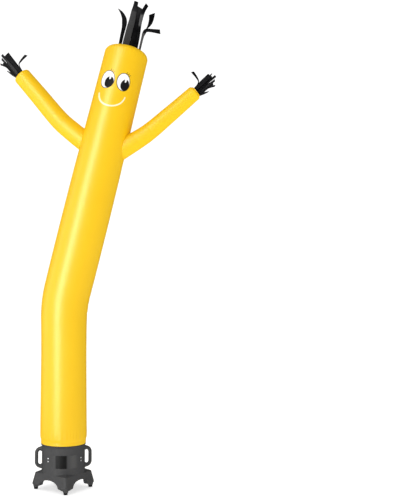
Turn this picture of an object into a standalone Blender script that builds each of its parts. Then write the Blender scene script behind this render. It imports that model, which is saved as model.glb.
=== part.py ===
# Inflatable air dancer on its blower.
# A sewn cloth tube with two arms, streamer hair and streamer fingers stands on the collar of a
# moulded blower housing. Metres, +Z up, the floor at z = 0. The origin is on the floor under the
# middle of the whole figure, so the blower's own axis stands to the left of it.

import math

import bmesh
import bpy
import numpy as np
from mathutils import Matrix, Vector

# ---------------------------------------------------------------- driving sizes
BLOWER_AXIS = (-0.280, 0.000)   # x, y of the axis of the blower and of the lower tube
GAP = 0.0003                   # left between pieces that touch
ROUND = 48                     # sides of the tube, the collar and everything that fits on them

# the dancer's cloth
CLOTH = 0.0015                 # thickness of the cloth's solid
HEM_Z = 0.2955                 # the hem's lower edge, on the collar strap
LEAN = math.radians(13.90)     # of the upper tube, towards +X
BEND_START = 1.102             # height where the tube starts to bend
BEND_RADIUS = 0.88
CROWN_Z = 2.927                # centreline height where the wall turns in to the crown
CROWN_SHOULDER = 0.040         # radius of that turn
CROWN_FLAT = 0.088             # radius of the flat patch that carries the hair
CROWN_RISE = 0.006             # of the patch above the shoulder
TURN = math.radians(72.0)      # azimuth of the right arm from -Y towards +X; the left is opposite
ARMS_ALONG = Vector((math.sin(TURN), -math.cos(TURN), 0.0))
ARM_PLANE_X = 0.262            # where the arms' vertical plane crosses the tube, from the axis
ARM_SIDES = 24
CUFF_SHOULDER = 0.014
CUFF_FLAT = 0.040
CUFF_RISE = 0.004
VENT_RADIUS = 0.050            # of the hole in the tube's wall behind each arm
RIBBON = 0.0012                # thickness of a streamer
BAND = 0.008                   # thickness of the sewn band that holds a tuft's roots

# the blower
TOP_Z = 0.340                  # of the rim
WALL_IN = 0.1365               # inner radius of the duct
WALL_OUT = 0.1425              # outer radius of the housing's cylinder
COLLAR = 0.1440                # outer radius of the collar between its two beads
BEAD = 0.0045                  # radius of a bead's section
BEAD_AT = 0.1437               # radius where that section is centred
UPPER_BEAD_Z = 0.330
LOWER_BEAD_Z = 0.2885
WALL_FOOT_Z = 0.055            # lower edge of the cylinder inside the skirt
STRAP_OUT = 0.1470
STRAP_Z = (0.2938, 0.3247)
SKIN = 0.005                   # wall of the moulded skirt
SKIRT_SPAN = 0.25              # half length of a cutter that passes right through the skirt
ARCH_HALF = 0.083              # half the span of the arch between two legs
ARCH_CREST_Z = 0.073
ARCH_CENTRE_Z = 0.025
LEG_AT = 0.180                 # distance of each foot from the axis, on X and Y
BOSS_Z = 0.0130                # underside of a leg's boss
BOSS_TOP = 0.0325              # inside the leg
BOSS_RADII = (0.0155, 0.0190)
FOOT_RADIUS = 0.0135
HANDLE_TUBE = 0.0115           # radius
HANDLE_REACH = 0.189
HANDLE_Z = (0.134, 0.270)
HANDLE_BEND = 0.027
NOTCHES = 6
NOTCH_FIRST = math.radians(-14.0)
NOTCH_WIDTH = 0.0090
NOTCH_Z = 0.3303
NOTCH_BOX = (0.030, 0.020)     # depth across the wall, height
SCREW_RADIUS = 0.0036
SCREW_LENGTH = 0.0112
SCREW_DOME = 0.0022
RIVET_RADIUS = 0.0045
RIVET_LENGTH = 0.0024
RIVET_DOME = 0.0016
RIVET_AZIMUTH = math.radians(48.75)
RIVET_Z = (0.1925, 0.2115)
PLATE_HALF = math.radians(37.5)
PLATE_Z = (0.153, 0.235)
PLATE_SHEET = 0.0012
STRAP_EDGE = 0.0008            # chamfer of the strap's edges
GRILLE_Z = 0.3335
GRILLE_WIRE = 0.0016           # radius
GRILLE_SPOKE = 0.00144         # radius
GRILLE_HUB = 0.019             # radius of the centre plate
GRILLE_HUB_DEPTH = 0.0024
GRILLE_RINGS = 2

# tube: height of the section's centre, outer radius
TUBE_ROWS = (
    (HEM_Z, 0.1488), (0.3190, 0.1496), (0.3280, 0.1522), (0.3450, 0.1540), (0.4000, 0.1545),
    (0.5200, 0.1535), (0.8400, 0.1515), (1.0000, 0.1521), (1.0800, 0.1533), (1.1600, 0.1555),
    (1.2400, 0.1574), (1.3200, 0.1587), (1.4800, 0.1600), (1.6400, 0.1608), (1.8100, 0.1610),
    (2.1400, 0.1597), (2.5600, 0.1551), (2.8000, 0.1530), (CROWN_Z, 0.1520),
)
# arms: distance from the tube's middle in the arms' plane, height, outer radius
ARM_ROWS = {
    "arm_left": (
        (-0.050, 2.265, 0.0690), (-0.132, 2.334, 0.0690), (-0.207, 2.397, 0.0685),
        (-0.310, 2.492, 0.0665), (-0.460, 2.673, 0.0635), (-0.575, 2.810, 0.0610),
    ),
    "arm_right": (
        (0.050, 2.218, 0.0680), (0.148, 2.275, 0.0675), (0.306, 2.369, 0.0600),
        (0.454, 2.487, 0.0555), (0.626, 2.630, 0.0505),
    ),
}
# skirt: height, reach of its corners along X and Y, radius of the rounded corner
SKIRT_ROWS = (
    (0.0205, 0.1940, 0.012), (0.0330, 0.2110, 0.016), (0.0360, 0.2115, 0.016),
    (0.0980, 0.1930, 0.014), (0.1060, 0.1900, 0.014), (0.1110, 0.1790, 0.020),
    (0.1330, 0.1050, 0.030),
)
# lower edge of an arch below its oval: half width, height
ARCH_FLARE = ((0.0822, 0.0320), (0.1030, 0.0200), (0.1060, 0.0000))
# streamers, in the tuft's own frame (along the limb, across it, in depth away from the front):
# root across, root depth, points (along, across, depth), width at root, at tip,
# quarter turns of twist at root, at tip
HAIR = (
    (-0.059, -0.003, ((0.100, -0.061, -0.008), (0.196, -0.067, -0.016), (0.232, -0.086, -0.020),
                      (0.258, -0.134, -0.026)), 0.021, 0.005, 0.1, 0.0),
    (-0.020, -0.009, ((0.156, -0.018, -0.020), (0.250, -0.019, -0.026),
                      (0.344, -0.027, -0.032)), 0.048, 0.023, 0.0, 0.0),
    (0.028, -0.002, ((0.140, 0.026, -0.004), (0.210, 0.017, -0.006),
                    (0.312, 0.004, -0.012)), 0.048, 0.034, 0.0, 0.0),
    (0.052, -0.008, ((0.110, 0.046, -0.018), (0.198, 0.038, -0.022), (0.256, 0.037, -0.024),
                     (0.346, 0.055, -0.028)), 0.022, 0.022, -0.1, 0.1),
    (0.062, 0.004, ((0.140, 0.079, 0.006), (0.198, 0.097, 0.010),
                    (0.300, 0.108, 0.016)), 0.028, 0.034, 2.0, 0.15),
    (0.074, -0.008, ((0.096, 0.079, -0.014), (0.144, 0.083, -0.022), (0.176, 0.102, -0.028),
                     (0.184, 0.140, -0.032), (0.178, 0.188, -0.036)), 0.014, 0.015, 0.2, 0.0),
    (-0.040, 0.003, ((0.120, -0.046, 0.004), (0.240, -0.064, 0.010)), 0.018, 0.010, -0.1, -0.2),
    (-0.056, 0.010, ((0.110, -0.060, 0.036), (0.200, -0.064, 0.080)), 0.018, 0.010, 0.2, 0.6),
    (-0.014, 0.010, ((0.150, -0.018, 0.034), (0.305, -0.028, 0.066)), 0.032, 0.020, 0.1, 0.2),
    (0.020, 0.010, ((0.130, 0.022, 0.046), (0.250, 0.014, 0.124)), 0.028, 0.018, -0.1, -0.3),
    (0.054, 0.0105, ((0.130, 0.052, 0.044), (0.246, 0.036, 0.092)), 0.020, 0.012, -0.05, -0.6),
)
LEFT_FINGERS = (
    (0.022, -0.004, ((0.060, 0.034, -0.008), (0.074, 0.062, -0.010),
                     (0.078, 0.118, -0.012)), 0.009, 0.009, 0.0, 0.0),
    (0.009, -0.014, ((0.082, 0.008, -0.024), (0.165, 0.019, -0.032)), 0.024, 0.027, 0.0, 0.1),
    (-0.014, -0.010, ((0.094, -0.012, -0.018), (0.193, -0.012, -0.024)), 0.018, 0.016, 0.0, -0.1),
    (-0.026, -0.003, ((0.094, -0.027, -0.010), (0.172, -0.032, -0.018)), 0.014, 0.014, 0.1, 0.2),
    (-0.033, 0.003, ((0.094, -0.036, -0.002), (0.146, -0.044, -0.006)), 0.009, 0.011, 0.0, 0.1),
    (-0.034, -0.010, ((0.064, -0.041, -0.016), (0.108, -0.046, -0.020),
                      (0.146, -0.062, -0.024)), 0.007, 0.009, 0.0, 0.0),
    (-0.033, 0.010, ((0.048, -0.046, 0.010), (0.090, -0.060, 0.008)), 0.006, 0.005, 0.0, 0.0),
    (0.016, 0.003, ((0.088, 0.012, 0.004), (0.180, 0.032, 0.006)), 0.012, 0.008, 0.1, 0.2),
    (-0.004, 0.000, ((0.088, -0.002, 0.000), (0.160, 0.004, 0.000)), 0.016, 0.013, 0.1, 0.3),
    (0.012, 0.012, ((0.077, 0.010, 0.030), (0.140, 0.014, 0.060)), 0.018, 0.013, -0.1, -0.4),
    (-0.016, 0.012, ((0.082, -0.020, 0.028), (0.160, -0.018, 0.050)), 0.016, 0.012, 0.1, 0.4),
)
RIGHT_FINGERS = (
    (0.022, 0.004, ((0.050, 0.034, 0.008), (0.062, 0.062, 0.010),
                    (0.070, 0.118, 0.012)), 0.009, 0.008, 0.0, 0.0),
    (0.009, 0.014, ((0.070, 0.007, 0.024), (0.132, 0.018, 0.032)), 0.024, 0.027, 0.0, 0.1),
    (-0.014, 0.010, ((0.080, -0.012, 0.018), (0.164, -0.018, 0.024)), 0.018, 0.015, 0.0, -0.1),
    (-0.026, 0.003, ((0.080, -0.024, 0.010), (0.142, -0.034, 0.018)), 0.014, 0.014, 0.1, 0.2),
    (-0.033, -0.003, ((0.078, -0.034, 0.002), (0.122, -0.044, 0.006)), 0.009, 0.012, 0.0, 0.1),
    (-0.034, 0.010, ((0.056, -0.037, 0.016), (0.086, -0.045, 0.020),
                     (0.118, -0.062, 0.024)), 0.007, 0.010, 0.0, 0.0),
    (-0.033, -0.010, ((0.036, -0.044, -0.010), (0.066, -0.058, -0.008)), 0.006, 0.005, 0.0, 0.0),
    (0.016, -0.003, ((0.080, 0.010, -0.004), (0.160, 0.024, -0.006)), 0.012, 0.008, 0.1, 0.2),
    (-0.004, 0.000, ((0.080, -0.002, 0.000), (0.144, 0.000, 0.000)), 0.016, 0.013, 0.1, 0.3),
    (0.012, -0.012, ((0.066, 0.008, -0.030), (0.122, 0.012, -0.060)), 0.018, 0.013, -0.1, -0.4),
    (-0.016, -0.012, ((0.070, -0.018, -0.028), (0.138, -0.016, -0.050)), 0.016, 0.012, 0.1, 0.4),
)
HAIR_BAND = (0.156, 0.028, 0.006)      # length, width, offset across the crown
FINGER_BAND = (0.034, -0.006)          # radius, offset across the cuff

# ---------------------------------------------------------------- materials and helpers
FINISHES = {                   # colour, roughness, metallic
    "tube_cloth": ((0.93, 0.58, 0.02), 0.45, 0.0),
    "streamer_cloth": ((0.012, 0.012, 0.013), 0.40, 0.0),
    "housing_plastic": ((0.060, 0.060, 0.061), 0.60, 0.0),
    "strap_webbing": ((0.022, 0.022, 0.025), 0.85, 0.0),
    "bare_steel": ((0.72, 0.72, 0.73), 0.28, 1.0),
    "foot_rubber": ((0.010, 0.010, 0.010), 0.80, 0.0),
}


def clear_scene():
    for old in list(bpy.data.objects):
        bpy.data.objects.remove(old, do_unlink=True)


def new_collection(name):
    made = bpy.data.collections.new(name)
    bpy.context.scene.collection.children.link(made)
    return made


def new_material(name):
    colour, roughness, metallic = FINISHES[name]
    made = bpy.data.materials.new(name)
    made.use_nodes = True
    shader = made.node_tree.nodes["Principled BSDF"]
    shader.inputs["Base Color"].default_value = (*colour, 1.0)
    shader.inputs["Roughness"].default_value = roughness
    shader.inputs["Metallic"].default_value = metallic
    return made


def add_object(name, mesh, where, finish=None):
    made = bpy.data.objects.new(name, mesh)
    where.objects.link(made)
    if finish is not None and not mesh.materials:
        mesh.materials.append(finish)
    return made


def mesh_from(bm, name, smooth=True):
    mesh = bpy.data.meshes.new(name)
    bm.to_mesh(mesh)
    bm.free()
    if smooth:
        mesh.shade_smooth()
        mesh.set_sharp_from_angle(angle=math.radians(35.0))
    return mesh


def hide_cutter(cutter):
    cutter.hide_render = True
    cutter.display_type = "WIRE"


def boolean(target, other, operation):
    step = target.modifiers.new(operation.lower() + "_" + other.name, "BOOLEAN")
    step.operation = operation
    step.object = other
    step.solver = "EXACT"
    hide_cutter(other)


def lofted(rings, close_start=False, close_end=False):
    """Quads between rings of equal length; a closed end is one face across the ring."""
    bm = bmesh.new()
    rows = [[bm.verts.new(point) for point in ring] for ring in rings]
    count = len(rows[0])
    for low, high in zip(rows, rows[1:]):
        for k in range(count):
            n = (k + 1) % count
            bm.faces.new((low[k], low[n], high[n], high[k]))
    if close_start:
        bm.faces.new(list(reversed(rows[0])))
    if close_end:
        bm.faces.new(rows[-1])
    return bm


def ring_points(centre, along, side, radius, sides):
    """A circle of points about `along`, starting at `side`."""
    along = Vector(along).normalized()
    side = Vector(side).normalized()
    third = along.cross(side)
    turns = (2.0 * math.pi * k / sides for k in range(sides))
    return [centre + radius * (math.cos(t) * side + math.sin(t) * third) for t in turns]


def end_rows(radius, shoulder, flat, rise):
    """Distance past the wall's end and radius, for a rounded shoulder and a flat patch."""
    turns = (math.radians(a) for a in (30.0, 60.0, 85.0))
    rows = [(shoulder * math.sin(a), radius - shoulder * (1.0 - math.cos(a))) for a in turns]
    return rows + [(shoulder + rise, flat)]


def on_smooth_line(rows, steps):
    """Points of a smooth line through the rows (Catmull-Rom), `steps` to each span."""
    p = np.array(rows, dtype=float)
    p = np.vstack([2 * p[0] - p[1], p, 2 * p[-1] - p[-2]])
    made = []
    for k in range(1, len(p) - 2):
        for t in np.arange(steps) / steps:
            cubic = -p[k - 1] + 3 * p[k] - 3 * p[k + 1] + p[k + 2]
            square = 2 * p[k - 1] - 5 * p[k] + 4 * p[k + 1] - p[k + 2]
            slope = p[k + 1] - p[k - 1]
            made.append(0.5 * (2 * p[k] + slope * t + square * t**2 + cubic * t**3))
    made.append(p[-2])
    return np.array(made)


# ---------------------------------------------------------------- the dancer
def tube_centre(z):
    """The tube's centreline at a height, and its lean there, from the blower's axis."""
    bend_top = BEND_START + BEND_RADIUS * math.sin(LEAN)
    if z <= BEND_START:
        return Vector((0.0, 0.0, z)), 0.0
    if z < bend_top:
        lean = math.asin((z - BEND_START) / BEND_RADIUS)
        return Vector((BEND_RADIUS * (1.0 - math.cos(lean)), 0.0, z)), lean
    x = BEND_RADIUS * (1.0 - math.cos(LEAN)) + (z - bend_top) * math.tan(LEAN)
    return Vector((x, 0.0, z)), LEAN


def tube_rings(grow, rows):
    """Rings of the tube's outer face from the rows, `grow` further out."""
    made = []
    for z, radius in rows:
        centre, lean = tube_centre(z)
        along = Vector((math.sin(lean), 0.0, math.cos(lean)))
        side = Vector((math.cos(lean), 0.0, -math.sin(lean)))
        made.append(ring_points(centre, along, side, radius + grow, ROUND))
    return made


def crown_frame():
    """The flat patch on the crown: local Z along the tube, X across it, Y in depth."""
    centre, lean = tube_centre(CROWN_Z)
    along = Vector((math.sin(lean), 0.0, math.cos(lean)))
    across = Vector((math.cos(lean), 0.0, -math.sin(lean)))
    top = centre + along * (CROWN_SHOULDER + CROWN_RISE)
    return frame_of(top, across, Vector((0.0, 1.0, 0.0)), along)


def frame_of(origin, x, y, z):
    made = Matrix.Identity(4)
    for column, axis in enumerate((x, y, z, origin)):
        for row in range(3):
            made[row][column] = axis[row]
    return made


def body_tube(where, cutters, finish):
    """One tube of cloth: open hem, bend, leaning trunk and closed crown."""
    rings = tube_rings(0.0, TUBE_ROWS)
    centre, lean = tube_centre(CROWN_Z)
    along = Vector((math.sin(lean), 0.0, math.cos(lean)))
    side = Vector((math.cos(lean), 0.0, -math.sin(lean)))
    for past, radius in end_rows(TUBE_ROWS[-1][1], CROWN_SHOULDER, CROWN_FLAT, CROWN_RISE):
        rings.append(ring_points(centre + along * past, along, side, radius, ROUND))
    bm = lofted(rings, close_end=True)
    made = add_object("body_tube", mesh_from(bm, "body_tube"), where, finish)
    add_cloth(made)
    for name in ARM_ROWS:
        boolean(made, vent_cutter(name, cutters), "DIFFERENCE")
    return made


def add_cloth(piece):
    cloth = piece.modifiers.new("cloth", "SOLIDIFY")
    cloth.thickness = CLOTH
    cloth.offset = -1.0
    cloth.use_even_offset = True


def arm_line(name, steps=2):
    """Centre points and radii along an arm, from inside the tube to the cuff."""
    rows = on_smooth_line(ARM_ROWS[name], steps)
    base = Vector((ARM_PLANE_X, 0.0, 0.0))
    centres = [base + ARMS_ALONG * float(s) + Vector((0.0, 0.0, float(z))) for s, z, _ in rows]
    return centres, [float(r) for r in rows[:, 2]]


def arm_tangents(centres):
    ends = [centres[0], *centres, centres[-1]]
    return [(ends[k + 2] - ends[k]).normalized() for k in range(len(centres))]


def vent_cutter(name, cutters):
    """A short plug through the tube's wall, on the arm's own line."""
    centres, _ = arm_line(name)
    along = arm_tangents(centres)[2]
    side = along.cross(Vector((0.0, 0.0, 1.0)))
    reach = (centres[0], centres[4])
    bm = lofted([ring_points(c, along, side, VENT_RADIUS, ARM_SIDES) for c in reach], True, True)
    return add_object("vent_" + name, mesh_from(bm, "vent_" + name), cutters)


def tube_core(cutters):
    """The tube's outer face as a solid, one gap larger: it trims the arms' roots."""
    rows = [row for row in TUBE_ROWS if 1.7 < row[0] < 2.9]
    bm = lofted(tube_rings(GAP, rows), True, True)
    return add_object("tube_core", mesh_from(bm, "tube_core"), cutters)


def arm(name, core, where, finish):
    """A tapered sleeve, closed at the cuff and trimmed to the tube at its root."""
    centres, radii = arm_line(name)
    tangents = arm_tangents(centres)
    across = tangents[0].cross(Vector((0.0, 0.0, 1.0))).normalized()
    rings = [
        ring_points(c, t, across, r, ARM_SIDES) for c, t, r in zip(centres, tangents, radii)
    ]
    for past, radius in end_rows(radii[-1], CUFF_SHOULDER, CUFF_FLAT, CUFF_RISE):
        rings.append(
            ring_points(centres[-1] + tangents[-1] * past, tangents[-1], across, radius, ARM_SIDES)
        )
    bm = lofted(rings, close_end=True)
    made = add_object(name, mesh_from(bm, name), where, finish)
    add_cloth(made)
    boolean(made, core, "DIFFERENCE")
    return made


def cuff_frame(name):
    """The flat patch on a cuff: local Z along the arm, X upwards across it, Y in depth."""
    centres, _ = arm_line(name)
    along = arm_tangents(centres)[-1]
    across = ARMS_ALONG * (1.0 if name == "arm_left" else -1.0)
    across = (across - along * across.dot(along)).normalized()
    top = centres[-1] + along * (CUFF_SHOULDER + CUFF_RISE)
    return frame_of(top, across, along.cross(across), along)


def streamer(row):
    """Rings of one flat ribbon on a smooth line from inside the band to its tip, 4-sided."""
    across, depth, points, width_root, width_tip, turn_root, turn_tip = row
    line = [(across, depth, GAP + BAND / 2.0)]
    line += [(c, d, along) for along, c, d in points]
    centres = [Vector(p) for p in on_smooth_line(line, 3)]
    rings = []
    for k, (centre, along) in enumerate(zip(centres, arm_tangents(centres))):
        t = k / (len(centres) - 1)
        flat = (Vector((0.0, 1.0, 0.0)) - along * along.y).normalized()
        turn = (turn_root + (turn_tip - turn_root) * t) * math.pi / 2.0
        flat = Matrix.Rotation(turn, 3, along) @ flat
        wide = flat.cross(along) * (width_root + (width_tip - width_root) * t) / 2.0
        thick = flat * RIBBON / 2.0
        rings.append([centre - wide - thick, centre + wide - thick,
                      centre + wide + thick, centre - wide + thick])
    return rings


def tuft(name, band, rows, place, where, cutters, finish):
    """A sewn band with its streamers fused into it."""
    made = add_object(name, band, where, finish)
    strands = bmesh.new()
    for row in rows:
        one = lofted(streamer(row), True, True)
        bmesh.ops.recalc_face_normals(one, faces=one.faces)
        spare = bpy.data.meshes.new("spare")
        one.to_mesh(spare)
        one.free()
        strands.from_mesh(spare)
        bpy.data.meshes.remove(spare)
    cutter = add_object(name + "_strands", mesh_from(strands, name + "_strands"), cutters)
    made.matrix_world = place
    cutter.matrix_world = place
    boolean(made, cutter, "UNION")
    return made


def hair_band():
    """A stitched strip, long across the crown."""
    length, width, offset = HAIR_BAND
    bm = bmesh.new()
    bmesh.ops.create_cube(bm, size=1.0)
    bmesh.ops.scale(bm, vec=(length, width, BAND), verts=bm.verts)
    bmesh.ops.translate(bm, vec=(offset, 0.0, GAP + BAND / 2.0), verts=bm.verts)
    return mesh_from(bm, "hair_band")


def finger_band():
    """A round head that closes the cuff."""
    radius, offset = FINGER_BAND
    bm = bmesh.new()
    bmesh.ops.create_cone(
        bm, cap_ends=True, segments=ARM_SIDES, radius1=radius, radius2=radius, depth=BAND
    )
    bmesh.ops.translate(bm, vec=(offset, 0.0, GAP + BAND / 2.0), verts=bm.verts)
    return mesh_from(bm, "finger_band")


# ---------------------------------------------------------------- the blower
def turned(name, profile, where, finish=None):
    """A closed profile (radius, height) swept round the blower's axis."""
    mesh = bpy.data.meshes.new(name)
    points = [(r, 0.0, z) for r, z in profile]
    edges = [(k, (k + 1) % len(points)) for k in range(len(points))]
    mesh.from_pydata(points, edges, [])
    made = add_object(name, mesh, where, finish)
    screw = made.modifiers.new("turn", "SCREW")
    screw.axis = "Z"
    screw.steps = ROUND
    screw.render_steps = ROUND
    screw.use_merge_vertices = True
    screw.merge_threshold = 0.0001
    screw.use_smooth_shade = False
    return made


def bead_profile(z):
    """Half a round bead, from its top edge to its bottom edge."""
    turns = (math.radians(a) for a in (86.0, 45.0, 0.0, -45.0, -86.0))
    return [(BEAD_AT + BEAD * math.cos(a), z + BEAD * math.sin(a)) for a in turns]


def housing_wall(where):
    profile = [(COLLAR, TOP_Z)]
    profile += bead_profile(UPPER_BEAD_Z)
    profile += bead_profile(LOWER_BEAD_Z)
    profile += [(WALL_OUT, LOWER_BEAD_Z - 0.007), (WALL_OUT, WALL_FOOT_Z)]
    profile += [(WALL_IN, WALL_FOOT_Z), (WALL_IN, TOP_Z)]
    return turned("housing_wall", profile, where)


def skirt_ring(z, reach, corner, steps=3):
    """A square with rounded corners that point along X and Y."""
    centre = reach - corner * (math.sqrt(2.0) - 1.0) - corner
    made = []
    for quarter in range(4):
        mid = quarter * math.pi / 2.0
        for k in range(steps + 1):
            a = mid + math.radians(-45.0 + 90.0 * k / steps)
            x = centre * math.cos(mid) + corner * math.cos(a)
            y = centre * math.sin(mid) + corner * math.sin(a)
            made.append(Vector((x, y, z)))
    return made


def skirt(name, inset, where):
    """The four-legged skirt, or with an inset the hollow inside it."""
    rows = [
        (z + (inset if z < 0.05 else -inset * 1.2), reach - inset * 1.414, corner - inset * 0.4)
        for z, reach, corner in SKIRT_ROWS
    ]
    bm = lofted([skirt_ring(*row) for row in rows], True, True)
    return add_object(name, mesh_from(bm, name), where)


def cylinder(name, radius, low, high, sides, where, finish=None, top_radius=None):
    bm = bmesh.new()
    bmesh.ops.create_cone(
        bm, cap_ends=True, segments=sides, radius1=radius,
        radius2=radius if top_radius is None else top_radius, depth=high - low,
    )
    bmesh.ops.translate(bm, vec=(0.0, 0.0, (low + high) / 2.0), verts=bm.verts)
    return add_object(name, mesh_from(bm, name), where, finish)


def arch_cutter(name, azimuth, where):
    """An oval tunnel under the skirt, through two opposite sides."""
    height = ARCH_CREST_Z - ARCH_CENTRE_Z
    angles = [math.radians(a) for a in range(10, 171, 10)]
    outline = [(ARCH_HALF * math.cos(a), ARCH_CENTRE_Z + height * math.sin(a)) for a in angles]
    outline += [(-half, z) for half, z in ARCH_FLARE]
    outline += [(half, z) for half, z in reversed(ARCH_FLARE)]
    rings = [[Vector((x, y, z)) for x, z in outline] for y in (-SKIRT_SPAN, SKIRT_SPAN)]
    bm = lofted(rings, True, True)
    bmesh.ops.recalc_face_normals(bm, faces=bm.faces)
    bmesh.ops.rotate(bm, matrix=Matrix.Rotation(azimuth, 3, "Z"), verts=bm.verts)
    return add_object(name, mesh_from(bm, name), where)


def handle(name, side, where):
    """A round bar bent to a D, with both ends inside the housing's wall."""
    line = bpy.data.curves.new(name, "CURVE")
    line.dimensions = "3D"
    line.bevel_depth = HANDLE_TUBE
    line.bevel_resolution = 2
    line.use_fill_caps = True
    out = HANDLE_REACH - HANDLE_TUBE
    low = HANDLE_Z[0] + HANDLE_TUBE
    high = HANDLE_Z[1] - HANDLE_TUBE
    inside = (WALL_IN + WALL_OUT) / 2.0
    bends = [math.radians(a) for a in (0.0, 22.5, 45.0, 67.5, 90.0)]
    upper = [
        (out - HANDLE_BEND * (1 - math.sin(a)), high - HANDLE_BEND * (1 - math.cos(a)))
        for a in bends
    ]
    lower = [(x, low + high - z) for x, z in reversed(upper)]
    route = [(inside, high), *upper, *lower, (inside, low)]
    spline = line.splines.new("POLY")
    spline.points.add(len(route) - 1)
    for point, (x, z) in zip(spline.points, route):
        point.co = (side * x, 0.0, z, 1.0)
    bar = add_object(name + "_line", line, where)
    return curve_to_mesh(bar, name, where)


def curve_to_mesh(bar, name, where):
    """The curve's own tube as a closed mesh object in the curve's place."""
    bpy.context.view_layer.update()
    ready = bar.evaluated_get(bpy.context.evaluated_depsgraph_get())
    mesh = bpy.data.meshes.new_from_object(ready)
    bm = bmesh.new()
    bm.from_mesh(mesh)
    bmesh.ops.remove_doubles(bm, verts=bm.verts, dist=0.00005)
    bmesh.ops.recalc_face_normals(bm, faces=bm.faces)
    bm.to_mesh(mesh)
    bm.free()
    mesh.name = name
    made = add_object(name, mesh, where)
    made.matrix_world = bar.matrix_world
    bpy.data.objects.remove(bar, do_unlink=True)
    return made


def notch_cutters(where):
    """Slots in the rim for the screws, as one mesh of separate boxes."""
    bm = bmesh.new()
    for k in range(NOTCHES):
        azimuth = NOTCH_FIRST + k * 2.0 * math.pi / NOTCHES
        box = bmesh.ops.create_cube(bm, size=1.0)["verts"]
        bmesh.ops.scale(bm, vec=(NOTCH_WIDTH, *NOTCH_BOX), verts=box)
        bmesh.ops.translate(bm, vec=(0.0, -WALL_OUT, NOTCH_Z + NOTCH_BOX[1] / 2.0), verts=box)
        bmesh.ops.rotate(bm, matrix=Matrix.Rotation(azimuth, 3, "Z"), verts=box)
    return add_object("rim_notches", mesh_from(bm, "rim_notches", smooth=False), where)


def legs():
    """The four places of the feet, on X and Y."""
    return [
        (name, Vector((LEG_AT * math.cos(a), LEG_AT * math.sin(a), 0.0)))
        for name, a in zip(("right", "back", "left", "front"), np.arange(4) * math.pi / 2.0)
    ]


def housing(where, cutters, finish):
    """One moulding: wall with collar beads, hollow four-legged skirt, bosses and handles."""
    made = skirt("housing", 0.0, where)
    made.data.materials.append(finish)
    boolean(made, skirt("skirt_hollow", SKIN, cutters), "DIFFERENCE")
    middle = (WALL_IN + WALL_OUT) / 2.0
    boolean(made, cylinder("duct", middle, -0.01, 0.2, ROUND, cutters), "DIFFERENCE")
    boolean(made, housing_wall(cutters), "UNION")
    for k in (0, 1):
        azimuth = math.radians(45.0 + 90.0 * k)
        boolean(made, arch_cutter("arch_%d" % k, azimuth, cutters), "DIFFERENCE")
    boolean(made, notch_cutters(cutters), "DIFFERENCE")
    for name, spot in legs():
        boss = cylinder(
            "boss_" + name, BOSS_RADII[0], BOSS_Z, BOSS_TOP, 20, cutters, top_radius=BOSS_RADII[1]
        )
        boss.location = spot
        boolean(made, boss, "UNION")
    for name, side in (("handle_left", -1.0), ("handle_right", 1.0)):
        boolean(made, handle(name, side, cutters), "UNION")
    return made


def collar_strap(where, finish):
    low, high = STRAP_Z
    edge = STRAP_EDGE
    inside = COLLAR + GAP
    profile = [
        (STRAP_OUT - edge, high), (STRAP_OUT, high - edge), (STRAP_OUT, low + edge),
        (STRAP_OUT - edge, low), (inside, low), (inside, high),
    ]
    return turned("collar_strap", profile, where, finish)


def ring_mesh(bm, radius, wire, segments=28, sides=4):
    """Adds a round wire ring to the mesh."""
    rings = []
    for k in range(segments):
        a = 2.0 * math.pi * k / segments
        out = Vector((math.cos(a), math.sin(a), 0.0))
        centre = out * radius + Vector((0.0, 0.0, GRILLE_Z))
        along = Vector((-math.sin(a), math.cos(a), 0.0))
        points = ring_points(centre, along, out, wire, sides)
        rings.append([bm.verts.new(point) for point in points])
    for k in range(segments):
        low, high = rings[k], rings[(k + 1) % segments]
        for j in range(sides):
            n = (j + 1) % sides
            bm.faces.new((low[j], low[n], high[n], high[j]))


def grille(where, cutters, finish):
    """Concentric wires welded to a hub and three cross wires."""
    outer = WALL_IN * math.cos(math.pi / ROUND) - GAP - GRILLE_WIRE
    low, high = (GRILLE_Z + side * GRILLE_HUB_DEPTH / 2.0 for side in (-1.0, 1.0))
    made = cylinder("grille", GRILLE_HUB, low, high, 16, where, finish)
    for k in range(3):
        azimuth = NOTCH_FIRST + k * math.pi / 3.0
        along = Vector((math.sin(azimuth), -math.cos(azimuth), 0.0))
        ends = (Vector((0.0, 0.0, GRILLE_Z)) + along * s for s in (-outer, outer))
        up = Vector((0.0, 0.0, 1.0))
        rings = [ring_points(end, along, up, GRILLE_SPOKE, 6) for end in ends]
        spoke = add_object(
            "spoke_%d" % k, mesh_from(lofted(rings, True, True), "spoke_%d" % k), cutters
        )
        boolean(made, spoke, "UNION")
    wires = bmesh.new()
    for k in range(1, GRILLE_RINGS + 1):
        ring_mesh(wires, GRILLE_HUB + (outer - GRILLE_HUB) * k / GRILLE_RINGS, GRILLE_WIRE)
    bmesh.ops.recalc_face_normals(wires, faces=wires.faces)
    boolean(made, add_object("wires", mesh_from(wires, "wires"), cutters), "UNION")
    return made


def domed_pin(name, radius, length, dome, where, finish):
    """A short pin along local +Z with a domed end."""
    turns = [math.radians(a) for a in (0.0, 35.0, 65.0)]
    rows = [(0.0, radius)]
    rows += [(length - dome + dome * math.sin(a), radius * math.cos(a)) for a in turns]
    up = Vector((0.0, 0.0, 1.0))
    side = Vector((1.0, 0.0, 0.0))
    bm = lofted([ring_points(up * z, up, side, r, 10) for z, r in rows], True, True)
    return add_object(name, mesh_from(bm, name), where, finish)


def facing_out(azimuth, distance, z):
    """A place on the housing whose local +Z points out along the azimuth from -Y to +X."""
    out = Vector((math.sin(azimuth), -math.cos(azimuth), 0.0))
    side = Vector((math.cos(azimuth), math.sin(azimuth), 0.0))
    return frame_of(out * distance + Vector((0.0, 0.0, z)), side, out.cross(side), out)


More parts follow.
